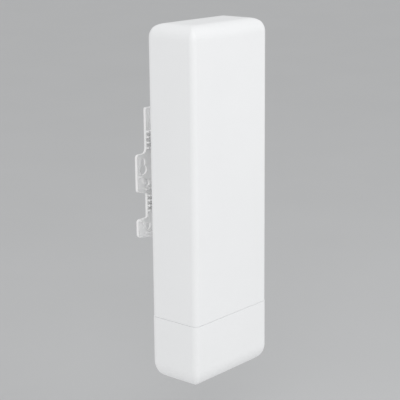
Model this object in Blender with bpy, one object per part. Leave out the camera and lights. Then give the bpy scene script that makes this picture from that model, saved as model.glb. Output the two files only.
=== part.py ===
"""Outdoor wireless bridge: white housing with a slip-on bottom cover, hung on a wall and pole bracket.

Metres. +X is to the right of someone who faces the front, +Y points at the wall and +Z is up.
The origin lies in the wall plane behind the bracket, half way up the bracket.
"""
import math

import bmesh
import bpy
from mathutils import Matrix, Vector

# Housing, outside
BODY_WIDTH = 0.083
BODY_DEPTH = 0.0435
BODY_HEIGHT = 0.265
BODY_DROP = 0.020
EDGE_RADIUS = 0.0045
TOP_RADIUS = 0.010
BOTTOM_RADIUS = 0.0147
CREASE_RADIUS = 0.0006

# Housing, walls and rear opening
RIM_WALL = 0.002
LEDGE = 0.0012
TOP_RIM_WALL = 0.0055
NECK_WALL = 0.0024
NECK_HEIGHT = 0.010
OPENING_RADIUS = 0.003
GASKET_THICKNESS = 0.0012
REAR_FLANGE = 0.0024
REAR_PLUG = 0.0025

# Bottom cover and its cable exit
COVER_HEIGHT = 0.0495
COVER_WALL = 0.0024
COVER_FLOOR = 0.0026
COVER_PROUD = 0.00025
SEAM_GAP = 0.0005
SEAM_CHAMFER = 0.0003
EXIT_LENGTH = 0.026
EXIT_WIDTH = 0.0096
GROMMET_LIP = 0.0018
GROMMET_LIP_HEIGHT = 0.0016
CABLE_HOLE = 0.0066
CABLE_PITCH = 0.0125

# Clearances
FIT = 0.0003
SEAL_FIT = 0.00015
COVER_FIT = 0.0004
RAIL_GAP = 0.0004
HOLE_FIT = 0.0002
OVERLAP = 0.0005
OVERCUT = 0.004

# Screws
SCREW_SHANK = 0.003
SCREW_HEAD = 0.0056
SCREW_HEAD_HEIGHT = 0.0018
SCREW_LENGTH = 0.012
SCREW_EDGE = 0.0046
SCREW_END = 0.008
BOSS_RADIUS = 0.0032
SMALL_SHANK = 0.0025
SMALL_HEAD = 0.0048
SMALL_HEAD_HEIGHT = 0.0016
SMALL_LENGTH = 0.006

# Port plate and what sits in it
PLATE_THICKNESS = 0.0025
JACK_WIDTH = 0.0162
JACK_DEPTH = 0.0136
JACK_LENGTH = 0.0215
JACK_PITCH = 0.029
SOCKET_WIDTH = 0.0118
SOCKET_DEPTH = 0.0072
SOCKET_LENGTH = 0.0135
LATCH_WIDTH = 0.0064
LATCH_DEPTH = 0.0028
SOCKET_WALL = 0.0014
CONTACT_COUNT = 8
CONTACT_PITCH = 0.00102
CONTACT_WIDTH = 0.0005
CONTACT_HEIGHT = 0.0006
CONTACT_STRIP = 0.0006
BUTTON_RADIUS = 0.0023
BUTTON_FLANGE = 0.0037
BUTTON_FLANGE_HEIGHT = 0.001
BUTTON_STEM = 0.0013
BUTTON_STEM_HEIGHT = 0.003
BUTTON_PROUD = 0.0012
BUTTON_TRAVEL = 0.0008
SWITCH_WIDTH = 0.006
SWITCH_DEPTH = 0.0072
SWITCH_HEIGHT = 0.0045
GROUND_SHANK = 0.004
GROUND_HEAD = 0.008
GROUND_HEAD_HEIGHT = 0.0026
GROUND_LENGTH = 0.008
VENT_STEM = 0.005
VENT_CAP = 0.009
VENT_CAP_HEIGHT = 0.0018
VENT_LENGTH = 0.0055
PLATE_FIXTURE_EDGE = 0.0055

# Main board and its components
BOARD_HEIGHT = 0.128
BOARD_THICKNESS = 0.0016
BOARD_SIDE_ROOM = 0.0005
POST_LENGTH = 0.006
POST_RADIUS = 0.0033
BOARD_SCREW_EDGE = 0.005
SHIELD_WIDTH = 0.034
SHIELD_HEIGHT = 0.026
SHIELD_THICKNESS = 0.0032
RADIO_DROP = 0.0255
PROCESSOR_DROP = 0.056
SINK_SIZE = 0.024
SINK_BASE = 0.0015
SINK_FIN = 0.0045
SINK_FINS = 6
TRANSFORMER_WIDTH = 0.0125
TRANSFORMER_HEIGHT = 0.0095
TRANSFORMER_THICKNESS = 0.006
TRANSFORMER_RISE = 0.004
INDUCTOR_SIZE = 0.008
INDUCTOR_THICKNESS = 0.005
CAPACITOR_RADIUS = 0.004
CAPACITOR_LENGTH = 0.0115
POWER_RISE = 0.009
POWER_GAP = 0.003
PART_GAP = 0.001
LIGHT_COUNT = 4
LIGHT_PITCH = 0.007
LIGHT_RADIUS = 0.0013
LIGHT_CHIP = 0.0018
LIGHT_RISE = 0.034
PIPE_BAR = 0.004
PIPE_BAR_THICKNESS = 0.002

# Antenna
REFLECTOR_THICKNESS = 0.001
REFLECTOR_EDGE = 0.008
REFLECTOR_TOP_ROOM = 0.003
STANDOFF_LENGTH = 0.013
STANDOFF_RADIUS = 0.003
STANDOFF_RISE = 0.063
REFLECTOR_POST_DROP = 0.006
PATCH_SIZE = 0.046
PATCH_CORNER = 0.006
PATCH_THICKNESS = 0.0008
PATCH_HEIGHT = 0.007
PATCH_PITCH = 0.060
SPACER_RADIUS = 0.003
SPACER_OFFSET = 0.015
FEED_RADIUS = 0.0007
FEED_HOLE = 0.002
FEED_LENGTH = 0.0027
FEED_RISE = 0.010
FEED_OFFSET = 0.008
LEAD_RADIUS = 0.0009
LEAD_START_DROP = 0.008
LEAD_OUT_END = 0.5
LEAD_RUN_START = 0.25

# Bracket
WALL_STANDOFF = 0.018
BRACKET_HEIGHT = 0.098
SPINE_WIDTH = 0.0533
EAR_SPAN = 0.0735
FLOOR = 0.0017
RIM = 0.001
RIM_RISE = 0.0004
MID_EAR_TOP = 0.01535
MID_EAR_TIP_BOTTOM = -0.0125
MID_EAR_ROOT_BOTTOM = -0.015
LOW_EAR_TOP = -0.03345
LOW_EAR_TIP_BOTTOM = -0.0473
LOW_EAR_TOE = 0.0206
SPINE_CORNER = 0.001
EAR_CORNER = 0.0022
LOW_EAR_CORNER = 0.0032
EAR_TOP_FILLET = 0.0034
EAR_ROOT_FILLET = 0.0013
GROOVE_WIDTH = 0.036
GROOVE_FLAT = 0.010
SEAT_WIDTH = 0.014
SEAT_DEPTH = 0.0078
RIB = 0.0013
STRAP_RIB_RISE = 0.0026
STRAP_RIB_COUNT = 4
UPPER_RIB_PITCH = 0.00403
LOWER_RIB_PITCH = 0.0038
UPPER_RIB_EDGE = 0.00385
LOWER_RIB_EDGE = 0.00535
EAR_RIB_RISE = 0.0014
EAR_RIB_EDGE = 0.002
EAR_RIB_LIFT = 0.0064
EAR_RIB_BEND = 0.0056
CROSS_RIB_DROP = 0.0045
CROSS_RIB_REACH = 0.0024
KEYHOLE_X = 0.0295
KEYHOLE_Z = 0.0033
KEYHOLE_RADIUS = 0.0037
KEYHOLE_SLOT = 0.0042
KEYHOLE_REACH = 0.0084
WALL_HOLE = 0.005
WALL_HOLE_X = 0.0256
MID_HOLE_Z = -0.0072
LOW_HOLE_Z = -0.0405
HOOK_HEIGHT = 0.014
HOOK_WALL = 0.003
HOOK_LIP = 0.0028
UPPER_HOOK_Z = 0.033
LOWER_HOOK_Z = -0.012
STOP_HEIGHT = 0.002

# Hooked feet on the rear cover
FOOT_WIDTH = 0.0135
FOOT_HEAD_WIDTH = 0.0235
FOOT_HEAD = 0.003
FOOT_WALL = 0.0024

# Facets
ARC_STEPS = 5
FILLET_STEPS = 7
ROUND_STEPS = 18
HEX_STEPS = 6
LEAD_STEPS = 16
LEAD_BEVEL_STEPS = 2
SMOOTH_ANGLE = math.radians(32)

# Planes and limits that follow from the sizes above
BACK_Y = -WALL_STANDOFF
FRONT_Y = BACK_Y - BODY_DEPTH
MID_Y = (BACK_Y + FRONT_Y) / 2
TOP_Z = BODY_HEIGHT / 2 - BODY_DROP
BOTTOM_Z = TOP_Z - BODY_HEIGHT
COVER_TOP = BOTTOM_Z + COVER_HEIGHT
SHELL_BOTTOM = COVER_TOP + SEAM_GAP
NECK_BOTTOM = SHELL_BOTTOM - NECK_HEIGHT
NECK_INSET = COVER_WALL - COVER_PROUD + COVER_FIT
WALL = RIM_WALL + LEDGE
BORE_HALF = BODY_WIDTH / 2 - NECK_INSET - NECK_WALL
BORE_FRONT = FRONT_Y + NECK_INSET + NECK_WALL
BORE_BACK = BACK_Y - NECK_INSET - NECK_WALL
RIM_HALF = BODY_WIDTH / 2 - RIM_WALL
RIM_LOW = SHELL_BOTTOM + RIM_WALL
RIM_HIGH = TOP_Z - TOP_RIM_WALL
CAVITY_HALF = RIM_HALF - LEDGE
CAVITY_LOW = RIM_LOW + LEDGE
CAVITY_HIGH = RIM_HIGH - LEDGE
FLANGE_IN = BACK_Y - REAR_FLANGE
LEDGE_Y = FLANGE_IN - GASKET_THICKNESS - 2 * SEAL_FIT
PLUG_IN = FLANGE_IN - REAR_PLUG
BOSS_END = PLUG_IN - FIT
SCREW_X = CAVITY_HALF - SCREW_EDGE
SCREW_ROWS = (CAVITY_LOW + SCREW_END, (CAVITY_LOW + CAVITY_HIGH) / 2, CAVITY_HIGH - SCREW_END)

PLATE_LOW = NECK_BOTTOM
PLATE_HIGH = PLATE_LOW + PLATE_THICKNESS
BOARD_BACK = PLUG_IN - POST_LENGTH - FIT
BOARD_FRONT = BOARD_BACK - BOARD_THICKNESS
BOARD_HALF = min(SCREW_X - BOSS_RADIUS, BORE_HALF) - BOARD_SIDE_ROOM
BOARD_LOW = PLATE_HIGH + FIT
BOARD_HIGH = BOARD_LOW + BOARD_HEIGHT
PART_Y = BOARD_FRONT - FIT
JACK_Y = PART_Y - JACK_DEPTH / 2
JACK_TOP = PLATE_LOW + JACK_LENGTH
BOARD_SCREW_X = BOARD_HALF - BOARD_SCREW_EDGE
TRANSFORMER_LOW = JACK_TOP + TRANSFORMER_RISE
TRANSFORMER_TOP = TRANSFORMER_LOW + TRANSFORMER_HEIGHT
BOARD_SCREW_ROWS = (TRANSFORMER_TOP + PART_GAP + SMALL_HEAD / 2, BOARD_HIGH - BOARD_SCREW_EDGE)
LIGHT_Z = BOARD_LOW + LIGHT_RISE

STANDOFF_Z = BOARD_LOW + STANDOFF_RISE
REFLECTOR_BACK = PART_Y - STANDOFF_LENGTH - FIT
REFLECTOR_FRONT = REFLECTOR_BACK - REFLECTOR_THICKNESS
REFLECTOR_HIGH = CAVITY_HIGH - REFLECTOR_TOP_ROOM
REFLECTOR_LOW = STANDOFF_Z - REFLECTOR_EDGE
REFLECTOR_POST_Z = REFLECTOR_HIGH - REFLECTOR_POST_DROP
PATCH_BACK = REFLECTOR_FRONT - PATCH_HEIGHT - 2 * SEAL_FIT
REFLECTOR_MID = (REFLECTOR_HIGH + REFLECTOR_LOW) / 2
PATCH_CENTRES = (REFLECTOR_MID + PATCH_PITCH / 2, REFLECTOR_MID - PATCH_PITCH / 2)

SEAT_Y = -SEAT_DEPTH
GROOVE_Y = SEAT_Y + FLOOR
GROOVE_SLOPE = -GROOVE_Y / ((GROOVE_WIDTH - GROOVE_FLAT) / 2)
HEAD_BACK = SEAT_Y - RAIL_GAP
HEAD_FRONT = HEAD_BACK - FOOT_HEAD
LIP_BACK = HEAD_FRONT - RAIL_GAP
LIP_FRONT = LIP_BACK - HOOK_LIP
HOOK_ROWS = (UPPER_HOOK_Z, LOWER_HOOK_Z)

# Finishes: colour, roughness, metallic
WHITE_PLASTIC = ("white_plastic", (0.83, 0.84, 0.86), 0.42, 0.0)
BRACKET_PLASTIC = ("bracket_plastic", (0.80, 0.80, 0.80), 0.5, 0.0)
DARK_RUBBER = ("dark_rubber", (0.05, 0.05, 0.055), 0.8, 0.0)
GREY_PLASTIC = ("grey_plastic", (0.30, 0.31, 0.32), 0.5, 0.0)
BLACK_PLASTIC = ("black_plastic", (0.03, 0.03, 0.032), 0.45, 0.0)
CLEAR_PLASTIC = ("clear_plastic", (0.85, 0.88, 0.88), 0.1, 0.0)
CIRCUIT_BOARD = ("circuit_board", (0.02, 0.16, 0.07), 0.4, 0.0)
STEEL = ("steel", (0.62, 0.62, 0.63), 0.3, 1.0)
BRASS = ("brass", (0.72, 0.55, 0.28), 0.3, 1.0)
GOLD = ("gold", (0.9, 0.7, 0.3), 0.25, 1.0)
ALUMINIUM = ("aluminium", (0.75, 0.76, 0.77), 0.35, 1.0)
TINPLATE = ("tinplate", (0.7, 0.7, 0.7), 0.35, 1.0)


def along(axis, distance, across, up):
    """A point given by its distance along an axis and its two other coordinates, in X, Y, Z order."""
    if axis == "X":
        return (distance, across, up)
    if axis == "Y":
        return (across, distance, up)
    return (across, up, distance)


def solid(name, rings, looped=False):
    """A closed mesh through rings of points: capped at both ends, or looped back into a frame."""
    shape = bmesh.new()
    loops = [[shape.verts.new(point) for point in ring] for ring in rings]
    pairs = list(zip(loops, loops[1:]))
    if looped:
        pairs.append((loops[-1], loops[0]))
    else:
        shape.faces.new(loops[0])
        shape.faces.new(loops[-1])
    for first, second in pairs:
        for i in range(len(first)):
            shape.faces.new((first[i - 1], first[i], second[i], second[i - 1]))
    bmesh.ops.recalc_face_normals(shape, faces=shape.faces)
    mesh = bpy.data.meshes.new(name)
    shape.to_mesh(mesh)
    shape.free()
    mesh.shade_smooth()
    mesh.set_sharp_from_angle(angle=SMOOTH_ANGLE)
    return mesh


def joined(name, meshes):
    """One mesh of several shapes that lie apart from each other."""
    shape = bmesh.new()
    for mesh in meshes:
        shape.from_mesh(mesh)
    mesh = bpy.data.meshes.new(name)
    shape.to_mesh(mesh)
    shape.free()
    mesh.shade_smooth()
    mesh.set_sharp_from_angle(angle=SMOOTH_ANGLE)
    return mesh


def prism(name, outline, axis, low, high):
    return solid(name, [[along(axis, level, u, v) for u, v in outline] for level in (low, high)])


def box(name, x, y, z):
    return prism(name, [(x[0], y[0]), (x[1], y[0]), (x[1], y[1]), (x[0], y[1])], "Z", z[0], z[1])


def frame(name, outer, inner, axis, low, high):
    """A flat frame between two outlines with as many points each."""
    rings = [(outer, low), (outer, high), (inner, high), (inner, low)]
    return solid(name, [[along(axis, level, u, v) for u, v in ring] for ring, level in rings], looped=True)


def turned(name, axis, profile, steps=ROUND_STEPS):
    """A piece turned about an axis through its own origin; the profile gives distance and radius."""
    turns = [2 * math.pi * i / steps for i in range(steps)]
    rings = []
    for at, radius in profile:
        rings.append([along(axis, at, radius * math.cos(turn), radius * math.sin(turn)) for turn in turns])
    return solid(name, rings)


def circle(centre_u, centre_v, radius):
    turns = [2 * math.pi * i / ROUND_STEPS for i in range(ROUND_STEPS)]
    return [(centre_u + radius * math.cos(t), centre_v + radius * math.sin(t)) for t in turns]


def pin(name, axis, centre, radius, low, high):
    return prism(name, circle(*centre, radius), axis, low, high)


def rounded(corners):
    """An outline through corners (u, v, radius), with an arc at each corner that has a radius."""
    points = []
    for i, (u, v, radius) in enumerate(corners):
        here = Vector((u, v))
        if not radius:
            points.append((u, v))
            continue
        back = (Vector(corners[i - 1][:2]) - here).normalized()
        ahead = (Vector(corners[(i + 1) % len(corners)][:2]) - here).normalized()
        half = back.angle(ahead) / 2
        centre = here + (back + ahead).normalized() * radius / math.sin(half)
        start = here + back * radius / math.tan(half) - centre
        turn = math.copysign(math.pi - 2 * half, ahead.x * back.y - ahead.y * back.x)
        for step in range(ARC_STEPS + 1):
            point = centre + Matrix.Rotation(turn * step / ARC_STEPS, 2) @ start
            points.append((point.x, point.y))
    return points


def rectangle(u, v, radius=0.0):
    return rounded([(u[0], v[0], radius), (u[1], v[0], radius), (u[1], v[1], radius), (u[0], v[1], radius)])


def obround(length, width):
    """A slot outline with round ends, centred on the origin."""
    reach = (length - width) / 2
    points = []
    for side in (1, -1):
        for step in range(2 * ARC_STEPS + 1):
            turn = math.pi * step / (2 * ARC_STEPS) - math.pi / 2
            points.append((side * (reach + width / 2 * math.cos(turn)), side * width / 2 * math.sin(turn)))
    return points


def inset(corners, distance):
    """The corners of an outline moved inwards; arcs follow, smaller outside and larger inside."""
    moved = []
    for i, (u, v, radius) in enumerate(corners):
        here = Vector((u, v))
        back = (Vector(corners[i - 1][:2]) - here).normalized()
        ahead = (Vector(corners[(i + 1) % len(corners)][:2]) - here).normalized()
        bend = ahead.x * back.y - ahead.y * back.x
        half = back.angle(ahead) / 2
        inward = (back + ahead).normalized() * math.copysign(distance / math.sin(half), bend)
        point = here + inward
        moved.append((point.x, point.y, max(radius - math.copysign(distance, bend), CREASE_RADIUS)))
    return moved


def finish_of(finish):
    name, colour, roughness, metallic = finish
    made = bpy.data.materials.get(name)
    if made is None:
        made = bpy.data.materials.new(name)
        made.use_nodes = True
        shader = made.node_tree.nodes["Principled BSDF"]
        shader.inputs["Base Color"].default_value = (*colour, 1.0)
        shader.inputs["Roughness"].default_value = roughness
        shader.inputs["Metallic"].default_value = metallic
    return made


def place(name, data, finish, carrier, location=(0.0, 0.0, 0.0)):
    """One visible sub-part, placed in world coordinates and carried by an empty."""
    data.name = name
    data.materials.clear()
    data.materials.append(finish_of(finish))
    made = bpy.data.objects.new(name, data)
    made.location = location
    made.parent = carrier
    made.matrix_parent_inverse = Matrix.Translation(carrier.location).inverted()
    bpy.context.scene.collection.objects.link(made)
    return made


def reshape(target, operation, *meshes):
    """Cuts each mesh from the target, joins it on, or keeps what they share."""
    for mesh in meshes:
        tool = bpy.data.objects.new(mesh.name, mesh)
        tool.hide_render = True
        tool.display_type = "WIRE"
        tool.parent = target
        bpy.context.scene.collection.objects.link(tool)
        change = target.modifiers.new(mesh.name, "BOOLEAN")
        change.operation = operation
        change.solver = "EXACT"
        change.object = tool


def carrier(name, location):
    made = bpy.data.objects.new(name, None)
    made.location = location
    bpy.context.scene.collection.objects.link(made)
    return made


def body_ring(shrink, level):
    """The housing's outline at one height, moved in from its widest size."""
    radius = max(EDGE_RADIUS - shrink, CREASE_RADIUS)
    half = BODY_WIDTH / 2 - shrink
    outline = rectangle((-half, half), (FRONT_Y + shrink, BACK_Y - shrink), radius)
    return [(x, y, level) for x, y in outline]


def fillet(radius):
    """Pairs of inset and rise along a quarter round, from the wall to the end face."""
    turns = [math.pi / 2 * i / FILLET_STEPS for i in range(FILLET_STEPS + 1)]
    return [(radius * (1 - math.cos(t)), radius * math.sin(t)) for t in turns]


def body_form(name):
    """The outer form of the housing with its neck, solid."""
    rings = [
        body_ring(NECK_INSET, NECK_BOTTOM),
        body_ring(NECK_INSET, SHELL_BOTTOM),
        body_ring(SEAM_CHAMFER, SHELL_BOTTOM),
        body_ring(0.0, SHELL_BOTTOM + SEAM_CHAMFER),
    ]
    rings += [body_ring(shrink, TOP_Z - TOP_RADIUS + rise) for shrink, rise in fillet(TOP_RADIUS)]
    return solid(name, rings)


def cover_form(name, wall, floor, top):
    """The bottom cover's outer form, or the hollow inside it, from its floor up to its rim."""
    radius = BOTTOM_RADIUS - wall
    bottom = BOTTOM_Z + floor
    shift = wall - COVER_PROUD
    rings = [body_ring(shift + shrink, bottom + radius - rise) for shrink, rise in reversed(fillet(radius))]
    return solid(name, rings + top(shift))


def rear_outline(half, low, high, radius):
    return rectangle((-half, half), (low, high), radius)


def rim_outline(gap):
    return rear_outline(RIM_HALF - gap, RIM_LOW + gap, RIM_HIGH - gap, OPENING_RADIUS + LEDGE - gap)


def cavity_outline(gap):
    return rear_outline(CAVITY_HALF - gap, CAVITY_LOW + gap, CAVITY_HIGH - gap, OPENING_RADIUS - gap)


def boss_outline(side, level):
    """A screw boss with a web out into the side wall."""
    points = []
    for step in range(2 * ARC_STEPS + 1):
        turn = math.pi / 2 + math.pi * step / (2 * ARC_STEPS)
        points.append((side * (SCREW_X + BOSS_RADIUS * math.cos(turn)), level + BOSS_RADIUS * math.sin(turn)))
    web = side * (CAVITY_HALF + OVERLAP)
    return points + [(web, level - BOSS_RADIUS), (web, level + BOSS_RADIUS)]


def make_front_shell(housing):
    shell = place("front_shell", body_form("shell_form"), WHITE_PLASTIC, housing)
    beyond = BACK_Y + OVERCUT
    reshape(
        shell,
        "DIFFERENCE",
        prism("shell_cavity", cavity_outline(0.0), "Y", FRONT_Y + WALL, beyond),
        prism("shell_rim", rim_outline(0.0), "Y", LEDGE_Y, beyond + OVERLAP),
        prism(
            "neck_bore",
            rectangle((-BORE_HALF, BORE_HALF), (BORE_FRONT, BORE_BACK), CREASE_RADIUS),
            "Z",
            NECK_BOTTOM - OVERCUT,
            CAVITY_LOW + OVERLAP,
        ),
    )
    bosses = [
        prism("boss", boss_outline(side, level), "Y", FRONT_Y + WALL - OVERLAP, BOSS_END)
        for side in (-1, 1)
        for level in SCREW_ROWS
    ]
    hole = SCREW_SHANK / 2 + HOLE_FIT
    pilots = [
        pin("pilot", "Y", (side * SCREW_X, level), hole, BOSS_END - SCREW_LENGTH, BACK_Y)
        for side in (-1, 1)
        for level in SCREW_ROWS
    ]
    reshape(shell, "UNION", joined("screw_bosses", bosses))
    reshape(shell, "DIFFERENCE", joined("screw_pilots", pilots))


def foot_meshes(level):
    """A hooked foot: a stem off the rear cover with a wider head that slides behind the bracket's hooks."""
    half = FOOT_WIDTH / 2
    head = FOOT_HEAD_WIDTH / 2
    height = (level, level + HOOK_HEIGHT)
    stem = box("foot_stem", (-half, half), (BACK_Y - OVERLAP, HEAD_FRONT + OVERLAP), height)
    plate = box("foot_head", (-head, head), (HEAD_FRONT, HEAD_BACK), height)
    inside = (level + FOOT_WALL, level + HOOK_HEIGHT - FOOT_WALL)
    room = half - FOOT_WALL
    hollow = box("foot_hollow", (-room, room), (PLUG_IN - OVERCUT, HEAD_FRONT - FOOT_WALL), inside)
    return stem, plate, hollow


def make_rear_cover(housing):
    cover = place(
        "rear_cover",
        prism("rear_flange", rim_outline(FIT), "Y", FLANGE_IN, BACK_Y + OVERCUT),
        WHITE_PLASTIC,
        housing,
    )
    reshape(cover, "INTERSECT", body_form("rear_form"))
    reshape(cover, "UNION", prism("rear_plug", cavity_outline(FIT), "Y", PLUG_IN, FLANGE_IN + OVERLAP))
    feet = [foot_meshes(level) for level in HOOK_ROWS]
    reshape(cover, "UNION", joined("foot_stems", [foot[0] for foot in feet]))
    reshape(cover, "UNION", joined("foot_heads", [foot[1] for foot in feet]))
    posts = []
    holes = [foot[2] for foot in feet]
    pilot = SMALL_SHANK / 2 + HOLE_FIT
    for side in (-1, 1):
        for level in BOARD_SCREW_ROWS:
            spot = (side * BOARD_SCREW_X, level)
            posts.append(pin("board_post", "Y", spot, POST_RADIUS, PLUG_IN - POST_LENGTH, PLUG_IN + OVERLAP))
            holes.append(pin("board_pilot", "Y", spot, pilot, PLUG_IN - POST_LENGTH - OVERCUT, PLUG_IN))
        spot = (side * BOARD_SCREW_X, REFLECTOR_POST_Z)
        end = REFLECTOR_BACK + FIT
        posts.append(pin("reflector_post", "Y", spot, POST_RADIUS, end, PLUG_IN + OVERLAP))
        holes.append(pin("reflector_pilot", "Y", spot, pilot, end - OVERCUT, end + SMALL_LENGTH))
        for level in SCREW_ROWS:
            holes.append(counterbored_hole("rear_screw_hole", (side * SCREW_X, level)))
    for offset in light_offsets():
        holes.append(
            pin("light_hole", "Y", (offset, LIGHT_Z), LIGHT_RADIUS + FIT, PLUG_IN - OVERCUT, BACK_Y + OVERCUT)
        )
    reshape(cover, "UNION", joined("rear_posts", posts))
    reshape(cover, "DIFFERENCE", joined("rear_holes", holes))


def counterbored_hole(name, spot):
    """A through hole with a counterbore for a rear screw."""
    shank = SCREW_SHANK / 2 + HOLE_FIT
    head = SCREW_HEAD / 2 + HOLE_FIT
    seat = BACK_Y - SCREW_HEAD_HEIGHT - FIT
    levels = [(PLUG_IN - OVERCUT, shank), (seat, shank), (seat, head), (BACK_Y + OVERCUT, head)]
    return solid(name, [[along("Y", at, u, v) for u, v in circle(*spot, radius)] for at, radius in levels])


def make_rear_gasket(housing):
    ring = frame(
        "rear_gasket",
        rim_outline(SEAL_FIT),
        cavity_outline(FIT / 2),
        "Y",
        LEDGE_Y + SEAL_FIT,
        FLANGE_IN - SEAL_FIT,
    )
    place("rear_gasket", ring, DARK_RUBBER, housing)


def screw_mesh(name, shank, head, head_height, length):
    """A screw along Y with its head towards +Y and its origin under the head."""
    profile = [(-length, shank / 2), (0.0, shank / 2), (0.0, head / 2), (head_height, head / 2)]
    return turned(name, "Y", profile)


def make_screws(housing):
    seat = BACK_Y - SCREW_HEAD_HEIGHT
    reach = seat - BOSS_END + SCREW_LENGTH - 2 * FIT
    spots = [(side * SCREW_X, level) for side in (-1, 1) for level in SCREW_ROWS]
    for number, (x, z) in enumerate(spots, 1):
        mesh = screw_mesh("rear_screw", SCREW_SHANK, SCREW_HEAD, SCREW_HEAD_HEIGHT, reach)
        place(f"rear_screw_{number}", mesh, STEEL, housing, (x, seat, z))
    spots = [(side * BOARD_SCREW_X, level) for side in (-1, 1) for level in BOARD_SCREW_ROWS]
    for number, (x, z) in enumerate(spots, 1):
        at = (x, BOARD_FRONT - SEAL_FIT, z)
        place(f"board_screw_{number}", small_screw(BOARD_THICKNESS), STEEL, housing, at)
    spots = [(side * BOARD_SCREW_X, level) for side in (-1, 1) for level in (STANDOFF_Z, REFLECTOR_POST_Z)]
    for number, (x, z) in enumerate(spots, 1):
        at = (x, REFLECTOR_FRONT - SEAL_FIT, z)
        place(f"reflector_screw_{number}", small_screw(REFLECTOR_THICKNESS), STEEL, housing, at)


def small_screw(clamped):
    """A small screw along Y with its head towards -Y and its origin under the head."""
    length = clamped + SMALL_LENGTH - OVERLAP
    shank = SMALL_SHANK / 2
    head = SMALL_HEAD / 2
    profile = [(length, shank), (0.0, shank), (0.0, head), (-SMALL_HEAD_HEIGHT, head)]
    return turned("small_screw", "Y", profile)


def jack_places():
    return (("left", -JACK_PITCH / 2), ("right", JACK_PITCH / 2))


def fixture_x():
    return BORE_HALF - PLATE_FIXTURE_EDGE


def make_port_plate(housing):
    half = BORE_HALF - FIT
    outline = rectangle((-half, half), (BORE_FRONT + FIT, BORE_BACK - FIT), CREASE_RADIUS)
    mesh = prism("port_plate", outline, "Z", PLATE_LOW, PLATE_HIGH)
    plate = place("port_plate", mesh, WHITE_PLASTIC, housing)
    through = (PLATE_LOW - OVERCUT, PLATE_HIGH + OVERCUT)
    wide = JACK_WIDTH / 2 + FIT
    deep = (JACK_Y - JACK_DEPTH / 2 - FIT, JACK_Y + JACK_DEPTH / 2 + FIT)
    holes = [box("jack_hole", (x - wide, x + wide), deep, through) for _, x in jack_places()]
    holes += [
        pin("button_hole", "Z", (0.0, JACK_Y), BUTTON_RADIUS + FIT, *through),
        pin("ground_hole", "Z", (fixture_x(), JACK_Y), GROUND_SHANK / 2 + FIT, *through),
        pin("vent_hole", "Z", (-fixture_x(), JACK_Y), VENT_STEM / 2 + FIT, *through),
    ]
    reshape(plate, "DIFFERENCE", joined("plate_holes", holes))


def socket_front():
    """The face of the socket's main room that lies nearest the front."""
    return JACK_Y - JACK_DEPTH / 2 + SOCKET_WALL + LATCH_DEPTH


def socket_outline(x):
    """A network socket's mouth: a wide room for the contacts and a narrower one for the latch."""
    wide = SOCKET_WIDTH / 2
    narrow = LATCH_WIDTH / 2
    near = socket_front()
    return [
        (x - wide, near + SOCKET_DEPTH),
        (x - wide, near),
        (x - narrow, near),
        (x - narrow, near - LATCH_DEPTH),
        (x + narrow, near - LATCH_DEPTH),
        (x + narrow, near),
        (x + wide, near),
        (x + wide, near + SOCKET_DEPTH),
    ]


def comb_outline(x, back):
    """Contact fingers standing on a strip along the socket's rear wall."""
    half = CONTACT_PITCH * CONTACT_COUNT / 2
    points = [(x + half, back), (x - half, back)]
    for finger in range(CONTACT_COUNT):
        left = x - half + CONTACT_PITCH * finger + (CONTACT_PITCH - CONTACT_WIDTH) / 2
        right = left + CONTACT_WIDTH
        tip = back - CONTACT_STRIP - CONTACT_HEIGHT
        root = back - CONTACT_STRIP
        points += [(left, root), (left, tip), (right, tip), (right, root)]
    points.insert(2, (x - half, back - CONTACT_STRIP))
    points.append((x + half, back - CONTACT_STRIP))
    return points


def make_jacks(housing):
    deep = JACK_DEPTH / 2
    for side, x in jack_places():
        body = box(
            "jack_body",
            (x - JACK_WIDTH / 2, x + JACK_WIDTH / 2),
            (JACK_Y - deep, JACK_Y + deep),
            (PLATE_LOW, JACK_TOP),
        )
        jack = place(f"lan_jack_{side}", body, BLACK_PLASTIC, housing)
        end = PLATE_LOW + SOCKET_LENGTH
        reshape(jack, "DIFFERENCE", prism("socket", socket_outline(x), "Z", PLATE_LOW - OVERCUT, end))
        back = socket_front() + SOCKET_DEPTH - SEAL_FIT
        comb = prism("contacts", comb_outline(x, back), "Z", PLATE_LOW + SOCKET_WALL, end - FIT)
        place(f"lan_contacts_{side}", comb, GOLD, housing)


def button_levels():
    """The button's heights above its origin, which lies at its lower face."""
    flange = BUTTON_PROUD + PLATE_THICKNESS + FIT
    return flange, flange + BUTTON_FLANGE_HEIGHT, flange + BUTTON_FLANGE_HEIGHT + BUTTON_STEM_HEIGHT


def make_reset(housing, button):
    flange, shoulder, top = button_levels()
    profile = [
        (0.0, BUTTON_RADIUS - SEAM_CHAMFER),
        (SEAM_CHAMFER, BUTTON_RADIUS),
        (flange, BUTTON_RADIUS),
        (flange, BUTTON_FLANGE),
        (shoulder, BUTTON_FLANGE),
        (shoulder, BUTTON_STEM),
        (top, BUTTON_STEM),
    ]
    place("reset_button", turned("reset_button", "Z", profile), GREY_PLASTIC, button, button.location)
    low = PLATE_LOW - BUTTON_PROUD + top + BUTTON_TRAVEL + SEAL_FIT
    half = SWITCH_WIDTH / 2
    switch = box("reset_switch", (-half, half), (PART_Y - SWITCH_DEPTH, PART_Y), (low, low + SWITCH_HEIGHT))
    place("reset_switch", switch, BLACK_PLASTIC, housing)


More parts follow.
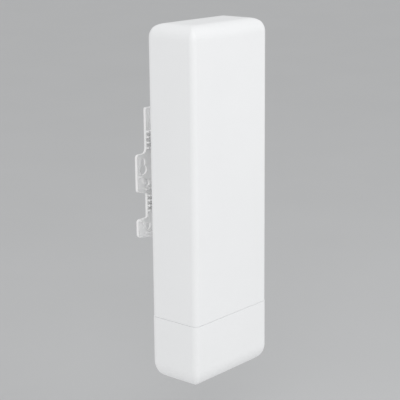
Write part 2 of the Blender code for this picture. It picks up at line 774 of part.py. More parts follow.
def make_plate_fixtures(housing):
    shank = GROUND_SHANK / 2
    head = GROUND_HEAD / 2
    screw = turned(
        "ground_screw",
        "Z",
        [(-GROUND_HEAD_HEIGHT, head), (0.0, head), (0.0, shank), (GROUND_LENGTH, shank)],
    )
    place("ground_screw", screw, STEEL, housing, (fixture_x(), JACK_Y, PLATE_LOW - SEAL_FIT))
    stem = VENT_STEM / 2
    cap = VENT_CAP / 2
    profile = [(-VENT_CAP_HEIGHT, cap - SEAM_CHAMFER), (-SEAM_CHAMFER, cap), (0.0, cap)]
    profile += [(0.0, stem), (VENT_LENGTH, stem)]
    plug = turned("vent_plug", "Z", profile)
    place("vent_plug", plug, DARK_RUBBER, housing, (-fixture_x(), JACK_Y, PLATE_LOW - SEAL_FIT))


def make_board(housing):
    board = place(
        "main_board",
        box("main_board", (-BOARD_HALF, BOARD_HALF), (BOARD_FRONT, BOARD_BACK), (BOARD_LOW, BOARD_HIGH)),
        CIRCUIT_BOARD,
        housing,
    )
    through = (BOARD_FRONT - OVERCUT, BOARD_BACK + OVERCUT)
    hole = SMALL_SHANK / 2 + HOLE_FIT
    holes = [
        pin("board_hole", "Y", (side * BOARD_SCREW_X, level), hole, *through)
        for side in (-1, 1)
        for level in BOARD_SCREW_ROWS
    ]
    reshape(board, "DIFFERENCE", joined("board_holes", holes))


def block(name, centre_x, width, low, height, thickness, finish, housing):
    """A component that lies flat on the front of the board."""
    half = width / 2
    mesh = box(name, (centre_x - half, centre_x + half), (PART_Y - thickness, PART_Y), (low, low + height))
    return place(name, mesh, finish, housing)


def make_components(housing):
    radio = BOARD_HIGH - RADIO_DROP - SHIELD_HEIGHT / 2
    processor = BOARD_HIGH - PROCESSOR_DROP - SHIELD_HEIGHT / 2
    for name, low in (("radio_shield", radio), ("processor_shield", processor)):
        block(name, 0.0, SHIELD_WIDTH, low, SHIELD_HEIGHT, SHIELD_THICKNESS, TINPLATE, housing)
    make_heat_sink(processor + SHIELD_HEIGHT / 2, housing)
    for side, x in jack_places():
        block(
            f"lan_transformer_{side}",
            x,
            TRANSFORMER_WIDTH,
            TRANSFORMER_LOW,
            TRANSFORMER_HEIGHT,
            TRANSFORMER_THICKNESS,
            BLACK_PLASTIC,
            housing,
        )
    power = TRANSFORMER_TOP + POWER_RISE
    half = INDUCTOR_SIZE / 2
    block("power_inductor", 0.0, 2 * half, power - half, 2 * half, INDUCTOR_THICKNESS, GREY_PLASTIC, housing)
    reach = half + POWER_GAP + CAPACITOR_RADIUS
    for side, x in (("left", -reach), ("right", reach)):
        can = turned("bulk_capacitor", "Y", [(-CAPACITOR_LENGTH, CAPACITOR_RADIUS), (0.0, CAPACITOR_RADIUS)])
        place(f"bulk_capacitor_{side}", can, ALUMINIUM, housing, (x, PART_Y, power))


def make_heat_sink(centre_z, housing):
    back = PART_Y - SHIELD_THICKNESS - FIT
    base = back - SINK_BASE
    tip = base - SINK_FIN
    half = SINK_SIZE / 2
    fin = SINK_SIZE / (2 * SINK_FINS - 1)
    outline = [(-half, back), (half, back)]
    for number in range(SINK_FINS):
        right = half - 2 * fin * number
        outline += [(right, tip), (right - fin, tip)]
        if number < SINK_FINS - 1:
            outline += [(right - fin, base), (right - 2 * fin, base)]
    mesh = prism("heat_sink", outline, "Z", centre_z - half, centre_z + half)
    place("heat_sink", mesh, ALUMINIUM, housing)


def light_offsets():
    return [LIGHT_PITCH * (number - (LIGHT_COUNT - 1) / 2) for number in range(LIGHT_COUNT)]


def make_lights(housing):
    half = LIGHT_CHIP / 2
    back = BOARD_BACK + SEAL_FIT
    for number, x in enumerate(light_offsets(), 1):
        height = (LIGHT_Z - half, LIGHT_Z + half)
        chip = box("status_light", (x - half, x + half), (back, back + LIGHT_CHIP), height)
        place(f"status_light_{number}", chip, CLEAR_PLASTIC, housing)
    inner = PLUG_IN - FIT
    reach = LIGHT_PITCH * LIGHT_COUNT / 2
    bar = box(
        "light_pipe",
        (-reach, reach),
        (inner - PIPE_BAR_THICKNESS, inner),
        (LIGHT_Z - PIPE_BAR / 2, LIGHT_Z + PIPE_BAR / 2),
    )
    pipe = place("light_pipe", bar, CLEAR_PLASTIC, housing)
    ends = (inner - OVERLAP, BACK_Y - FIT)
    prongs = [pin("prong", "Y", (x, LIGHT_Z), LIGHT_RADIUS, *ends) for x in light_offsets()]
    reshape(pipe, "UNION", joined("light_prongs", prongs))


def feeds():
    """Height and sideways place of each patch's feed pin, upper patch first."""
    upper, lower = PATCH_CENTRES
    return (("upper", FEED_OFFSET, upper), ("lower", -FEED_OFFSET, lower))


def make_reflector(housing):
    plate = place(
        "reflector_plate",
        box(
            "reflector_plate",
            (-BOARD_HALF, BOARD_HALF),
            (REFLECTOR_FRONT, REFLECTOR_BACK),
            (REFLECTOR_LOW, REFLECTOR_HIGH),
        ),
        ALUMINIUM,
        housing,
    )
    through = (REFLECTOR_FRONT - OVERCUT, REFLECTOR_BACK + OVERCUT)
    holes = [
        pin("plate_hole", "Y", (side * BOARD_SCREW_X, level), SMALL_SHANK / 2 + HOLE_FIT, *through)
        for side in (-1, 1)
        for level in (STANDOFF_Z, REFLECTOR_POST_Z)
    ]
    holes += [pin("feed_hole", "Y", (x, centre + FEED_RISE), FEED_HOLE, *through) for _, x, centre in feeds()]
    reshape(plate, "DIFFERENCE", joined("reflector_holes", holes))
    for side, sign in (("left", -1), ("right", 1)):
        profile = [(-STANDOFF_LENGTH, STANDOFF_RADIUS), (0.0, STANDOFF_RADIUS)]
        standoff = place(
            f"reflector_standoff_{side}",
            turned("standoff", "Y", profile, HEX_STEPS),
            BRASS,
            housing,
            (sign * BOARD_SCREW_X, PART_Y, STANDOFF_Z),
        )
        end = -STANDOFF_LENGTH
        hole = SMALL_SHANK / 2 + HOLE_FIT
        bore = pin("standoff_bore", "Y", (0.0, 0.0), hole, end - OVERCUT, end + SMALL_LENGTH)
        reshape(standoff, "DIFFERENCE", bore)


def patch_outline(x, z):
    """A square plate with two opposite corners cut off."""
    half = PATCH_SIZE / 2
    cut = half - PATCH_CORNER
    corners = [(half, -half), (half, cut), (cut, half), (-half, half), (-half, -cut), (-cut, -half)]
    return [(x + u, z + v) for u, v in corners]


def make_patches(housing):
    front = PATCH_BACK - PATCH_THICKNESS
    number = 1
    for name, feed_x, centre in feeds():
        patch = place(
            f"antenna_patch_{name}",
            prism("patch", patch_outline(0.0, centre), "Y", front, PATCH_BACK),
            ALUMINIUM,
            housing,
        )
        tail = pin(
            "feed_pin",
            "Y",
            (feed_x, centre + FEED_RISE),
            FEED_RADIUS,
            front + PATCH_THICKNESS / 2,
            REFLECTOR_BACK + FEED_LENGTH,
        )
        reshape(patch, "UNION", tail)
        for side in (-1, 1):
            spacer = turned("patch_spacer", "Y", [(-PATCH_HEIGHT, SPACER_RADIUS), (0.0, SPACER_RADIUS)])
            at = (side * SPACER_OFFSET, REFLECTOR_FRONT - SEAL_FIT, centre)
            place(f"patch_spacer_{number}", spacer, GREY_PLASTIC, housing, at)
            number += 1


def eased(share):
    """A share from 0 to 1 that starts and ends gently."""
    held = min(max(share, 0.0), 1.0)
    return held * held * (3 - 2 * held)


def make_leads(housing):
    """Each lead stands out from the board to the reflector, then runs along its back to a feed pin."""
    start_y = PART_Y - LEAD_RADIUS
    end_y = REFLECTOR_BACK + FIT + LEAD_RADIUS
    start_z = BOARD_HIGH - LEAD_START_DROP
    for name, x, centre in feeds():
        feed_z = centre + FEED_RISE
        end_z = feed_z + math.copysign(FEED_RADIUS + FIT, start_z - feed_z)
        path = bpy.data.curves.new("coax_lead", "CURVE")
        path.dimensions = "3D"
        path.bevel_depth = LEAD_RADIUS
        path.bevel_resolution = LEAD_BEVEL_STEPS
        path.use_fill_caps = True
        spline = path.splines.new("POLY")
        spline.points.add(LEAD_STEPS)
        for i, point in enumerate(spline.points):
            share = i / LEAD_STEPS
            out = eased(share / LEAD_OUT_END)
            run = eased((share - LEAD_RUN_START) / (1 - LEAD_RUN_START))
            point.co = (x, start_y + (end_y - start_y) * out, start_z + (end_z - start_z) * run, 1.0)
        place(f"coax_lead_{name}", path, BLACK_PLASTIC, housing)


def make_bottom_cover(cover):
    def outer_top(shift):
        return [body_ring(shift, COVER_TOP - SEAM_CHAMFER), body_ring(shift + SEAM_CHAMFER, COVER_TOP)]

    def inner_top(shift):
        return [body_ring(shift, COVER_TOP + OVERCUT)]

    shell = place("bottom_cover", cover_form("cover_outside", 0.0, 0.0, outer_top), WHITE_PLASTIC, cover)
    reshape(shell, "DIFFERENCE", cover_form("cover_inside", COVER_WALL, COVER_FLOOR, inner_top))
    slot = [(x, MID_Y + y) for x, y in obround(EXIT_LENGTH, EXIT_WIDTH)]
    ends = (BOTTOM_Z - OVERCUT, BOTTOM_Z + COVER_FLOOR + OVERCUT)
    reshape(shell, "DIFFERENCE", prism("cable_exit", slot, "Z", *ends))


def make_grommet(cover):
    """A rubber plug in the cable exit, with a lip on the floor inside and a hole for each cable."""
    stem = obround(EXIT_LENGTH - 2 * FIT, EXIT_WIDTH - 2 * FIT)
    lip = obround(EXIT_LENGTH + 2 * GROMMET_LIP, EXIT_WIDTH + 2 * GROMMET_LIP)
    seat = COVER_FLOOR + FIT
    levels = [(stem, FIT), (stem, seat), (lip, seat), (lip, seat + GROMMET_LIP_HEIGHT)]
    mesh = solid("cable_grommet", [[(x, y, level) for x, y in outline] for outline, level in levels])
    plug = place("cable_grommet", mesh, DARK_RUBBER, cover, (0.0, MID_Y, BOTTOM_Z))
    top = seat + GROMMET_LIP_HEIGHT + OVERCUT
    reach = CABLE_PITCH / 2
    holes = [pin("cable_hole", "Z", (x, 0.0), CABLE_HOLE / 2, -OVERCUT, top) for x in (-reach, reach)]
    reshape(plug, "DIFFERENCE", joined("cable_holes", holes))


def bracket_corners():
    """The bracket's outline, down its left side and up its right."""
    spine = SPINE_WIDTH / 2
    ear = EAR_SPAN / 2
    top = BRACKET_HEIGHT / 2
    right = [
        (spine, top, SPINE_CORNER),
        (spine, MID_EAR_TOP, EAR_TOP_FILLET),
        (ear, MID_EAR_TOP, EAR_CORNER),
        (ear, MID_EAR_TIP_BOTTOM, EAR_CORNER),
        (spine, MID_EAR_ROOT_BOTTOM, EAR_ROOT_FILLET),
        (spine, LOW_EAR_TOP, EAR_ROOT_FILLET),
        (ear, LOW_EAR_TOP, EAR_CORNER),
        (ear, LOW_EAR_TIP_BOTTOM, LOW_EAR_CORNER),
        (LOW_EAR_TOE, -top, LOW_EAR_CORNER),
    ]
    return [(-x, z, radius) for x, z, radius in right] + right[::-1]


def keyhole_outline(x):
    """A round hole for a screw head with a slot above it for the shank."""
    slot = KEYHOLE_SLOT / 2
    open_turn = math.asin(slot / KEYHOLE_RADIUS)
    points = []
    for step in range(ROUND_STEPS + 1):
        turn = math.pi / 2 + open_turn + 2 * (math.pi - open_turn) * step / ROUND_STEPS
        points.append((x + KEYHOLE_RADIUS * math.cos(turn), KEYHOLE_Z + KEYHOLE_RADIUS * math.sin(turn)))
    for step in range(2 * ARC_STEPS + 1):
        turn = math.pi * step / (2 * ARC_STEPS)
        points.append((x + slot * math.cos(turn), KEYHOLE_Z + KEYHOLE_REACH - slot + slot * math.sin(turn)))
    return points


def strap_ribs():
    """Cross ribs under the two strap seats: up from the middle ears, and up from the low ears."""
    upper = MID_EAR_TOP + UPPER_RIB_EDGE
    lower = LOW_EAR_TOP + LOWER_RIB_EDGE
    rows = [upper + UPPER_RIB_PITCH * i for i in range(STRAP_RIB_COUNT)]
    rows += [lower + LOWER_RIB_PITCH * i for i in range(STRAP_RIB_COUNT)]
    half = SPINE_WIDTH / 2 - RIM / 2
    depth = (-FLOOR - STRAP_RIB_RISE, -FLOOR / 2)
    return [box("strap_rib", (-half, half), depth, (z - RIB / 2, z + RIB / 2)) for z in rows]


def ear_rib_outline(side, hole_z):
    """A rib that runs in from the ear's tip above a wall hole, then down to the hole's outer side."""
    level = hole_z + EAR_RIB_LIFT
    start = EAR_SPAN / 2 - EAR_RIB_EDGE
    bend = WALL_HOLE_X + EAR_RIB_BEND
    end = WALL_HOLE_X + WALL_HOLE / 2
    slant = math.atan2(EAR_RIB_LIFT, bend - end)
    mitre = RIB * math.tan(slant / 2)
    upper = [(start, level), (bend, level), (end, hole_z)]
    lower = [(end + RIB / math.sin(slant), hole_z), (bend + mitre, level - RIB), (start, level - RIB)]
    return [(side * x, z) for x, z in upper + lower]


def ear_ribs():
    return [
        prism("ear_rib", ear_rib_outline(side, level), "Y", -FLOOR - EAR_RIB_RISE, -FLOOR / 2)
        for side in (-1, 1)
        for level in (MID_HOLE_Z, LOW_HOLE_Z)
    ]


def cross_ribs():
    """The rib under each pair of wall holes."""
    half = WALL_HOLE_X + CROSS_RIB_REACH
    depth = (-FLOOR - EAR_RIB_RISE, -FLOOR / 2)
    rows = [level - CROSS_RIB_DROP for level in (MID_HOLE_Z, LOW_HOLE_Z)]
    return [box("cross_rib", (-half, half), depth, (z - RIB / 2, z + RIB / 2)) for z in rows]


def mirrored(right):
    """A closed section from the points of its right half."""
    return right + [(-x, y) for x, y in reversed(right)]


def wedge_outline():
    """Section of the raised middle: two slopes up to the flat seat of the feet."""
    seat = SEAT_WIDTH / 2
    reach = seat + (-FLOOR - SEAT_Y) / GROOVE_SLOPE
    return mirrored([(reach, -FLOOR / 2), (reach, -FLOOR), (seat, SEAT_Y)])


def groove_outline():
    """Section of the groove for a pole behind the raised middle."""
    half = GROOVE_WIDTH / 2
    return mirrored([(half, OVERLAP), (half, 0.0), (GROOVE_FLAT / 2, GROOVE_Y)])


def hook_outline(side):
    """A hook standing on the sloped plate, its lip turned in over the foot's head."""
    inside = FOOT_HEAD_WIDTH / 2 + RAIL_GAP
    outside = inside + HOOK_WALL
    lip = FOOT_WIDTH / 2 + RAIL_GAP
    middle = (inside + outside) / 2
    foot = GROOVE_Y - FLOOR / 2 + GROOVE_SLOPE * (middle - GROOVE_FLAT / 2)
    points = [(inside, foot), (outside, foot), (outside, LIP_FRONT), (lip, LIP_FRONT), (lip, LIP_BACK)]
    points.append((inside, LIP_BACK))
    return [(side * x, y) for x, y in points]


def make_bracket(carried_by):
    outline = bracket_corners()
    bracket = place(
        "mount_bracket",
        prism("bracket_form", rounded(outline), "Y", -FLOOR - RIM_RISE, 0.0),
        BRACKET_PLASTIC,
        carried_by,
    )
    front = SEAT_Y - OVERCUT
    reshape(bracket, "DIFFERENCE", prism("bracket_floor", rounded(inset(outline, RIM)), "Y", front, -FLOOR))

    top = BRACKET_HEIGHT / 2
    reshape(
        bracket,
        "UNION",
        prism("bracket_wedge", wedge_outline(), "Z", -top + RIM / 2, top - RIM / 2),
        joined("strap_ribs", strap_ribs()),
        joined("ear_ribs", ear_ribs()),
        joined("cross_ribs", cross_ribs()),
    )
    reshape(bracket, "DIFFERENCE", prism("pole_groove", groove_outline(), "Z", -top - OVERCUT, top + OVERCUT))
    holes = []
    for side in (-1, 1):
        holes.append(prism("keyhole", keyhole_outline(side * KEYHOLE_X), "Y", front, OVERCUT))
        for level in (MID_HOLE_Z, LOW_HOLE_Z):
            holes.append(pin("wall_hole", "Y", (side * WALL_HOLE_X, level), WALL_HOLE / 2, front, OVERCUT))
    reshape(bracket, "DIFFERENCE", joined("wall_holes", holes))
    seat = SEAT_WIDTH / 2
    depth = (HEAD_FRONT, GROOVE_Y - FLOOR / 2)
    hooks = []
    stops = []
    for level in HOOK_ROWS:
        hooks += [prism("hook", hook_outline(side), "Z", level, level + HOOK_HEIGHT) for side in (-1, 1)]
        stop_top = level - RAIL_GAP
        stops.append(box("stop", (-seat, seat), depth, (stop_top - STOP_HEIGHT, stop_top)))
    reshape(bracket, "UNION", joined("hooks", hooks), joined("stops", stops))


def main():
    for old in list(bpy.data.objects):
        bpy.data.objects.remove(old, do_unlink=True)
    fixed = carrier("bracket_carrier", (0.0, 0.0, 0.0))
    housing = carrier("housing_slide", (0.0, BACK_Y, 0.0))
    cover = carrier("cover_slide", (0.0, MID_Y, COVER_TOP))
    button = carrier("button_slide", (0.0, JACK_Y, PLATE_LOW - BUTTON_PROUD))
    make_bracket(fixed)
    make_front_shell(housing)
    make_rear_cover(housing)
    make_rear_gasket(housing)
    make_screws(housing)
    make_port_plate(housing)
    make_jacks(housing)
    make_reset(housing, button)
    make_plate_fixtures(housing)
    make_board(housing)
    make_components(housing)
    make_lights(housing)
    make_reflector(housing)
    make_patches(housing)
    make_leads(housing)
    make_bottom_cover(cover)
    make_grommet(cover)
    bpy.context.view_layer.update()


main()
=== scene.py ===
import math

import bmesh
import bpy
from mathutils import Matrix, Vector


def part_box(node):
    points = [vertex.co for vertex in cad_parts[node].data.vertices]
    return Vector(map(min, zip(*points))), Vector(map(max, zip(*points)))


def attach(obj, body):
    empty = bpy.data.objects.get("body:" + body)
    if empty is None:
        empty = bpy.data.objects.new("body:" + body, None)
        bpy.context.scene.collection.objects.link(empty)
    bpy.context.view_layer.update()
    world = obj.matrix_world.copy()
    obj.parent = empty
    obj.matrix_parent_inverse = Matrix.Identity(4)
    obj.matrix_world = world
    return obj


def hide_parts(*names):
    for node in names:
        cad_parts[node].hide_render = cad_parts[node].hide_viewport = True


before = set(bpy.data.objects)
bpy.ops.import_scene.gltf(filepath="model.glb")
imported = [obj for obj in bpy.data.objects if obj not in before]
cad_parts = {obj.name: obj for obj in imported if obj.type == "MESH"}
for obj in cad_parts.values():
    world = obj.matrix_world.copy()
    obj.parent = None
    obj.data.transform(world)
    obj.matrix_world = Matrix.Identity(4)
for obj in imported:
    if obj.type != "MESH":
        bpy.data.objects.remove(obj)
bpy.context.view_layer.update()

shellLow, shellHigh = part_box("front_shell")
coverLow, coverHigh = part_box("bottom_cover")
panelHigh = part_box("rear_cover")[1]
gasketLow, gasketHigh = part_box("rear_gasket")
plateLow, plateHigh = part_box("port_plate")
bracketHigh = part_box("mount_bracket")[1]
frontY = shellLow.y
backY = shellHigh.y
topZ = shellHigh.z
bottomZ = coverLow.z
midY = (frontY + backY) / 2
halfWidth = shellHigh.x
bothSides = ("left", "right")
rearNumbers = range(1, 7)  # of the screws in the back panel
smallNumbers = range(1, 5)  # of the board and reflector screws, the lights and the spacers


# Shader maths: a Wire is one socket, and plain operators on it add Math nodes

class Wire:
    def __init__(self, net, socket):
        self.net = net
        self.socket = socket

    def __add__(self, other):
        return self.net.math("ADD", self, other)

    def __radd__(self, other):
        return self.net.math("ADD", other, self)

    def __sub__(self, other):
        return self.net.math("SUBTRACT", self, other)

    def __rsub__(self, other):
        return self.net.math("SUBTRACT", other, self)

    def __mul__(self, other):
        return self.net.math("MULTIPLY", self, other)

    def __rmul__(self, other):
        return self.net.math("MULTIPLY", other, self)

    def __gt__(self, other):
        return self.net.math("GREATER_THAN", self, other)

    def __lt__(self, other):
        return self.net.math("LESS_THAN", self, other)


class Net:
    def __init__(self, tree):
        self.tree = tree

    def node(self, kind, settings, sockets, out=0):  # any node: settings first, then socket values or links
        made = self.tree.nodes.new(kind)
        for name, value in settings.items():
            setattr(made, name, value)
        for name, value in sockets.items():
            self.plug(made.inputs[name], value)
        return Wire(self, made.outputs[out])

    def plug(self, socket, value):
        if isinstance(value, Wire):
            self.tree.links.new(value.socket, socket)
        else:
            socket.default_value = value

    def math(self, operation, first, second):
        return self.node("ShaderNodeMath", {"operation": operation}, {0: first, 1: second})

    def place(self):  # metres in the row frame
        return self.node("ShaderNodeTexCoord", {}, {}, "Object")

    def stretched(self, place, scale):
        return self.node("ShaderNodeMapping", {}, {"Vector": place, "Scale": scale})

    def noise(self, place, scale, detail=2.0, roughness=0.5):
        sockets = {"Vector": place, "Scale": scale, "Detail": detail, "Roughness": roughness}
        return self.node("ShaderNodeTexNoise", {}, sockets)

    def cells(self, place, scale, out="Distance"):
        return self.node("ShaderNodeTexVoronoi", {}, {"Vector": place, "Scale": scale}, out)

    def blend(self, share, first, second):  # sockets 6 and 7 take the colours
        return self.node("ShaderNodeMix", {"data_type": "RGBA"}, {0: share, 6: first, 7: second}, 2)

    def bump(self, height, strength, distance):
        sockets = {"Height": height, "Strength": strength, "Distance": distance}
        return self.node("ShaderNodeBump", {}, sockets)


class Finish(Net):  # a material with its Principled shader at hand
    def __init__(self, name):
        self.material = bpy.data.materials.new(name)
        self.material.use_nodes = True
        super().__init__(self.material.node_tree)
        self.shader = self.tree.nodes["Principled BSDF"]

    def set(self, **values):
        for name, value in values.items():
            self.plug(self.shader.inputs[name.replace("_", " ")], value)


def rgb(red, green, blue):  # a colour as seen on a screen, 0 to 255, as linear light
    def linear(level):
        share = level / 255
        return share / 12.92 if share <= 0.04045 else ((share + 0.055) / 1.055) ** 2.4
    return (linear(red), linear(green), linear(blue), 1.0)


# Finishes: scales are per metre, depths in metres; a look's own value goes before its base's

plasticBase = {"cloudShare": 0.65, "cloudDetail": 3.0, "grainRough": 0.6, "coarse": 0.31, "coarseShow": 0.6}
plastics = {
    "white_plastic": {
        "name": "whitePlastic", "light": (240, 241, 242), "shade": (234, 235, 236), "specular": 0.36,
        "speck": (222, 222, 221), "speckScale": 240.0, "speckSize": 0.035, "speckShow": 0.5,
        "cloudScale": 16.0, "flowScale": 9.0, "flowStretch": 0.25, "roughness": 0.46, "roughCloud": 0.10,
        "grainScale": 2600.0, "grainDepth": 0.00002, "bump": 0.35, "roughGrain": 0.12,
    },
    "bracket_plastic": {
        "name": "bracketPlastic", "light": (246, 246, 246), "shade": (239, 239, 239), "specular": 0.4,
        "speck": (216, 216, 215), "speckScale": 260.0, "speckSize": 0.04, "speckShow": 0.5,
        "cloudScale": 30.0, "flowScale": 22.0, "flowStretch": 0.4, "roughness": 0.47, "roughCloud": 0.12,
        "grainScale": 1900.0, "grainDepth": 0.00003, "bump": 0.45, "roughGrain": 0.14,
    },
    "grey_plastic": {
        "name": "greyPlastic", "light": (128, 130, 133), "shade": (108, 110, 113), "specular": 0.45,
        "speck": (90, 91, 94), "speckScale": 900.0, "speckSize": 0.05, "speckShow": 0.4,
        "cloudScale": 120.0, "flowScale": 80.0, "flowStretch": 0.5, "roughness": 0.46, "roughCloud": 0.12,
        "grainScale": 2400.0, "grainDepth": 0.00003, "bump": 0.5, "roughGrain": 0.16,
    },
    "black_plastic": {
        "name": "blackPlastic", "light": (40, 40, 42), "shade": (28, 28, 30), "specular": 0.5,
        "speck": (62, 62, 64), "speckScale": 1100.0, "speckSize": 0.06, "speckShow": 0.35,
        "cloudScale": 110.0, "flowScale": 70.0, "flowStretch": 0.4, "roughness": 0.42, "roughCloud": 0.14,
        "grainScale": 2200.0, "grainDepth": 0.00003, "bump": 0.5, "roughGrain": 0.18,
    },
    "dark_rubber": {
        "name": "darkRubber", "light": (52, 52, 54), "shade": (34, 34, 36), "specular": 0.35,
        "speck": (84, 83, 80), "speckScale": 800.0, "speckSize": 0.08, "speckShow": 0.45,
        "cloudScale": 90.0, "flowScale": 60.0, "flowStretch": 1.0, "roughness": 0.72, "roughCloud": 0.14,
        "grainScale": 1500.0, "grainDepth": 0.00005, "bump": 0.7, "roughGrain": 0.16,
    },
}


def mouldedPlastic(own):
    look = {**plasticBase, **own}
    finish = Finish(look["name"])
    place = finish.place()
    cloud = finish.noise(place, look["cloudScale"], look["cloudDetail"])
    flow = finish.noise(finish.stretched(place, (1.0, 1.0, look["flowStretch"])), look["flowScale"])
    grain = finish.noise(place, look["grainScale"], roughness=look["grainRough"])
    tone = cloud * look["cloudShare"] + flow * (1 - look["cloudShare"])
    speck = finish.cells(place, look["speckScale"]) < look["speckSize"]
    colour = finish.blend(tone, rgb(*look["shade"]), rgb(*look["light"]))
    colour = finish.blend(speck * look["speckShow"], colour, rgb(*look["speck"]))
    roughness = look["roughness"] + (cloud - 0.5) * look["roughCloud"] + (grain - 0.5) * look["roughGrain"]
    skin = grain + finish.noise(place, look["grainScale"] * look["coarse"]) * look["coarseShow"]
    finish.set(Base_Color=colour, Roughness=roughness, Specular_IOR_Level=look["specular"])
    finish.set(Normal=finish.bump(skin, look["bump"], look["grainDepth"]))
    return finish.material


metalBase = {
    "lineDetail": 3.0, "lineDepth": 0.00002, "tarnishDetail": 4.0, "uneven": 0.6,
    "spangleScale": 300.0, "spangleShow": 0.05,
}
metals = {
    "steel": {
        "name": "platedSteel", "bright": (218, 219, 222), "dull": (186, 187, 190), "roughness": 0.30,
        "lineStretch": (1.0, 0.15, 1.0), "lineScale": 1800.0, "bump": 0.3, "roughLines": 0.16,
        "tarnishScale": 420.0, "roughTarnish": 0.2, "spangleShow": 0.1,
    },
    "brass": {
        "name": "turnedBrass", "bright": (224, 190, 118), "dull": (186, 148, 84), "roughness": 0.28,
        "lineStretch": (0.3, 2.0, 0.3), "lineScale": 1500.0, "bump": 0.35, "roughLines": 0.14,
        "tarnishScale": 300.0, "roughTarnish": 0.2,
    },
    "gold": {
        "name": "goldFlash", "bright": (245, 214, 140), "dull": (222, 184, 104), "roughness": 0.22,
        "lineStretch": (1.0, 1.0, 0.2), "lineScale": 2600.0, "bump": 0.2, "roughLines": 0.1,
        "tarnishScale": 700.0, "roughTarnish": 0.14, "lineDepth": 0.00001,
    },
    "aluminium": {
        "name": "sheetAluminium", "bright": (228, 230, 232), "dull": (202, 204, 207), "roughness": 0.34,
        "lineStretch": (1.0, 1.0, 0.03), "lineScale": 1400.0, "bump": 0.35, "roughLines": 0.18,
        "tarnishScale": 130.0, "roughTarnish": 0.14,
    },
    "tinplate": {
        "name": "tinplate", "bright": (222, 222, 220), "dull": (190, 191, 191), "roughness": 0.33,
        "lineStretch": (0.05, 1.0, 1.0), "lineScale": 1100.0, "bump": 0.25, "roughLines": 0.14,
        "tarnishScale": 160.0, "roughTarnish": 0.18, "spangleScale": 420.0, "spangleShow": 0.35,
    },
}


def workedMetal(own):
    look = {**metalBase, **own}
    finish = Finish(look["name"])
    place = finish.place()
    drawn = finish.stretched(place, look["lineStretch"])
    lines = finish.noise(drawn, look["lineScale"], look["lineDetail"], look["uneven"])
    tarnish = finish.noise(place, look["tarnishScale"], look["tarnishDetail"], look["uneven"])
    spangle = finish.cells(place, look["spangleScale"], "Color")
    share = tarnish * (1 - look["spangleShow"]) + spangle * look["spangleShow"]
    colour = finish.blend(share, rgb(*look["dull"]), rgb(*look["bright"]))
    roughness = look["roughness"] + (lines - 0.5) * look["roughLines"]
    roughness += (tarnish - 0.5) * look["roughTarnish"]
    finish.set(Base_Color=colour, Metallic=1.0, Roughness=roughness)
    finish.set(Normal=finish.bump(lines, look["bump"], look["lineDepth"]))
    return finish.material


clear = {
    "tint": (232, 238, 238), "haze": (214, 222, 222), "hazeScale": 500.0, "hazeDetail": 3.0,
    "roughness": 0.10, "roughHaze": 0.12, "ior": 1.49, "clear": 0.75,
    "rippleScale": 900.0, "rippleDetail": 1.0, "ripple": 0.15, "rippleDepth": 0.00002,
}


def clearPlastic():
    finish = Finish("clearPlastic")
    place = finish.place()
    haze = finish.noise(place, clear["hazeScale"], clear["hazeDetail"])
    ripple = finish.noise(place, clear["rippleScale"], clear["rippleDetail"])
    finish.set(Base_Color=finish.blend(haze, rgb(*clear["haze"]), rgb(*clear["tint"])))
    finish.set(Roughness=clear["roughness"] + haze * clear["roughHaze"])
    finish.set(IOR=clear["ior"], Transmission_Weight=clear["clear"])
    finish.set(Normal=finish.bump(ripple, clear["ripple"], clear["rippleDepth"]))
    return finish.material


resist = {
    "light": (18, 92, 56), "deep": (12, 70, 42), "copper": (28, 106, 65), "pad": (214, 206, 178),
    "blotchScale": 160.0, "blotchDetail": 3.0, "roughness": 0.34, "roughBlotch": 0.12,
    "keepScale": 75.0, "keepDetail": 1.0, "keep": 0.47, "laneOffset": 0.37, "bump": 0.5, "depth": 0.00004,
    "padScale": 260.0, "padSize": 0.13, "padSmooth": 0.1, "padMetal": 0.9, "padRise": 0.6,
}
lanes = {"Scale": 95.0, "Mortar Size": 0.07, "Mortar Smooth": 0.1, "Brick Width": 1.7, "Row Height": 0.16}


def circuitBoard():
    finish = Finish("circuitBoard")
    place = finish.place()
    blotch = finish.noise(place, resist["blotchScale"], resist["blotchDetail"])
    laid = finish.node("ShaderNodeMapping", {}, {"Vector": place, "Rotation": (math.pi / 2, 0.0, 0.0)})
    offset = {"offset": resist["laneOffset"]}
    rows = finish.node("ShaderNodeTexBrick", offset, {"Vector": laid, **lanes}, "Fac")
    tracks = rows * (finish.noise(place, resist["keepScale"], resist["keepDetail"]) > resist["keep"])
    pads = finish.cells(place, resist["padScale"]) < resist["padSize"]
    colour = finish.blend(blotch, rgb(*resist["deep"]), rgb(*resist["light"]))
    colour = finish.blend(tracks, colour, rgb(*resist["copper"]))
    colour = finish.blend(pads, colour, rgb(*resist["pad"]))
    roughness = resist["roughness"] + blotch * resist["roughBlotch"] - pads * resist["padSmooth"]
    finish.set(Base_Color=colour, Roughness=roughness, Metallic=pads * resist["padMetal"])
    finish.set(Normal=finish.bump(tracks + pads * resist["padRise"], resist["bump"], resist["depth"]))
    return finish.material


finishes = {slot: mouldedPlastic(look) for slot, look in plastics.items()}
finishes.update({slot: workedMetal(look) for slot, look in metals.items()})
finishes["clear_plastic"] = clearPlastic()
finishes["circuit_board"] = circuitBoard()
print("finishes made:", len(finishes))


# Mesh tools: levels are pairs, a distance along an axis and the outline, growth or radius there

meshing = {
    "arcSteps": 10, "filletSteps": 16, "roundSteps": 48, "holeSteps": 28, "pinSteps": 24, "dotSteps": 20,
    "cornerSteps": 4, "edgeSteps": 4, "rimSteps": 5, "domeSteps": 6, "beyond": 0.004, "leastArc": 0.0003,
    "weld": 0.000005, "flatAngle": 0.4, "softAngle": 38, "smoothAngle": 34,
}
beyond = meshing["beyond"]  # how far a cutting tool stands out


def toMesh(shape):
    mesh = bpy.data.meshes.new("part")
    shape.to_mesh(mesh)
    shape.free()
    return mesh


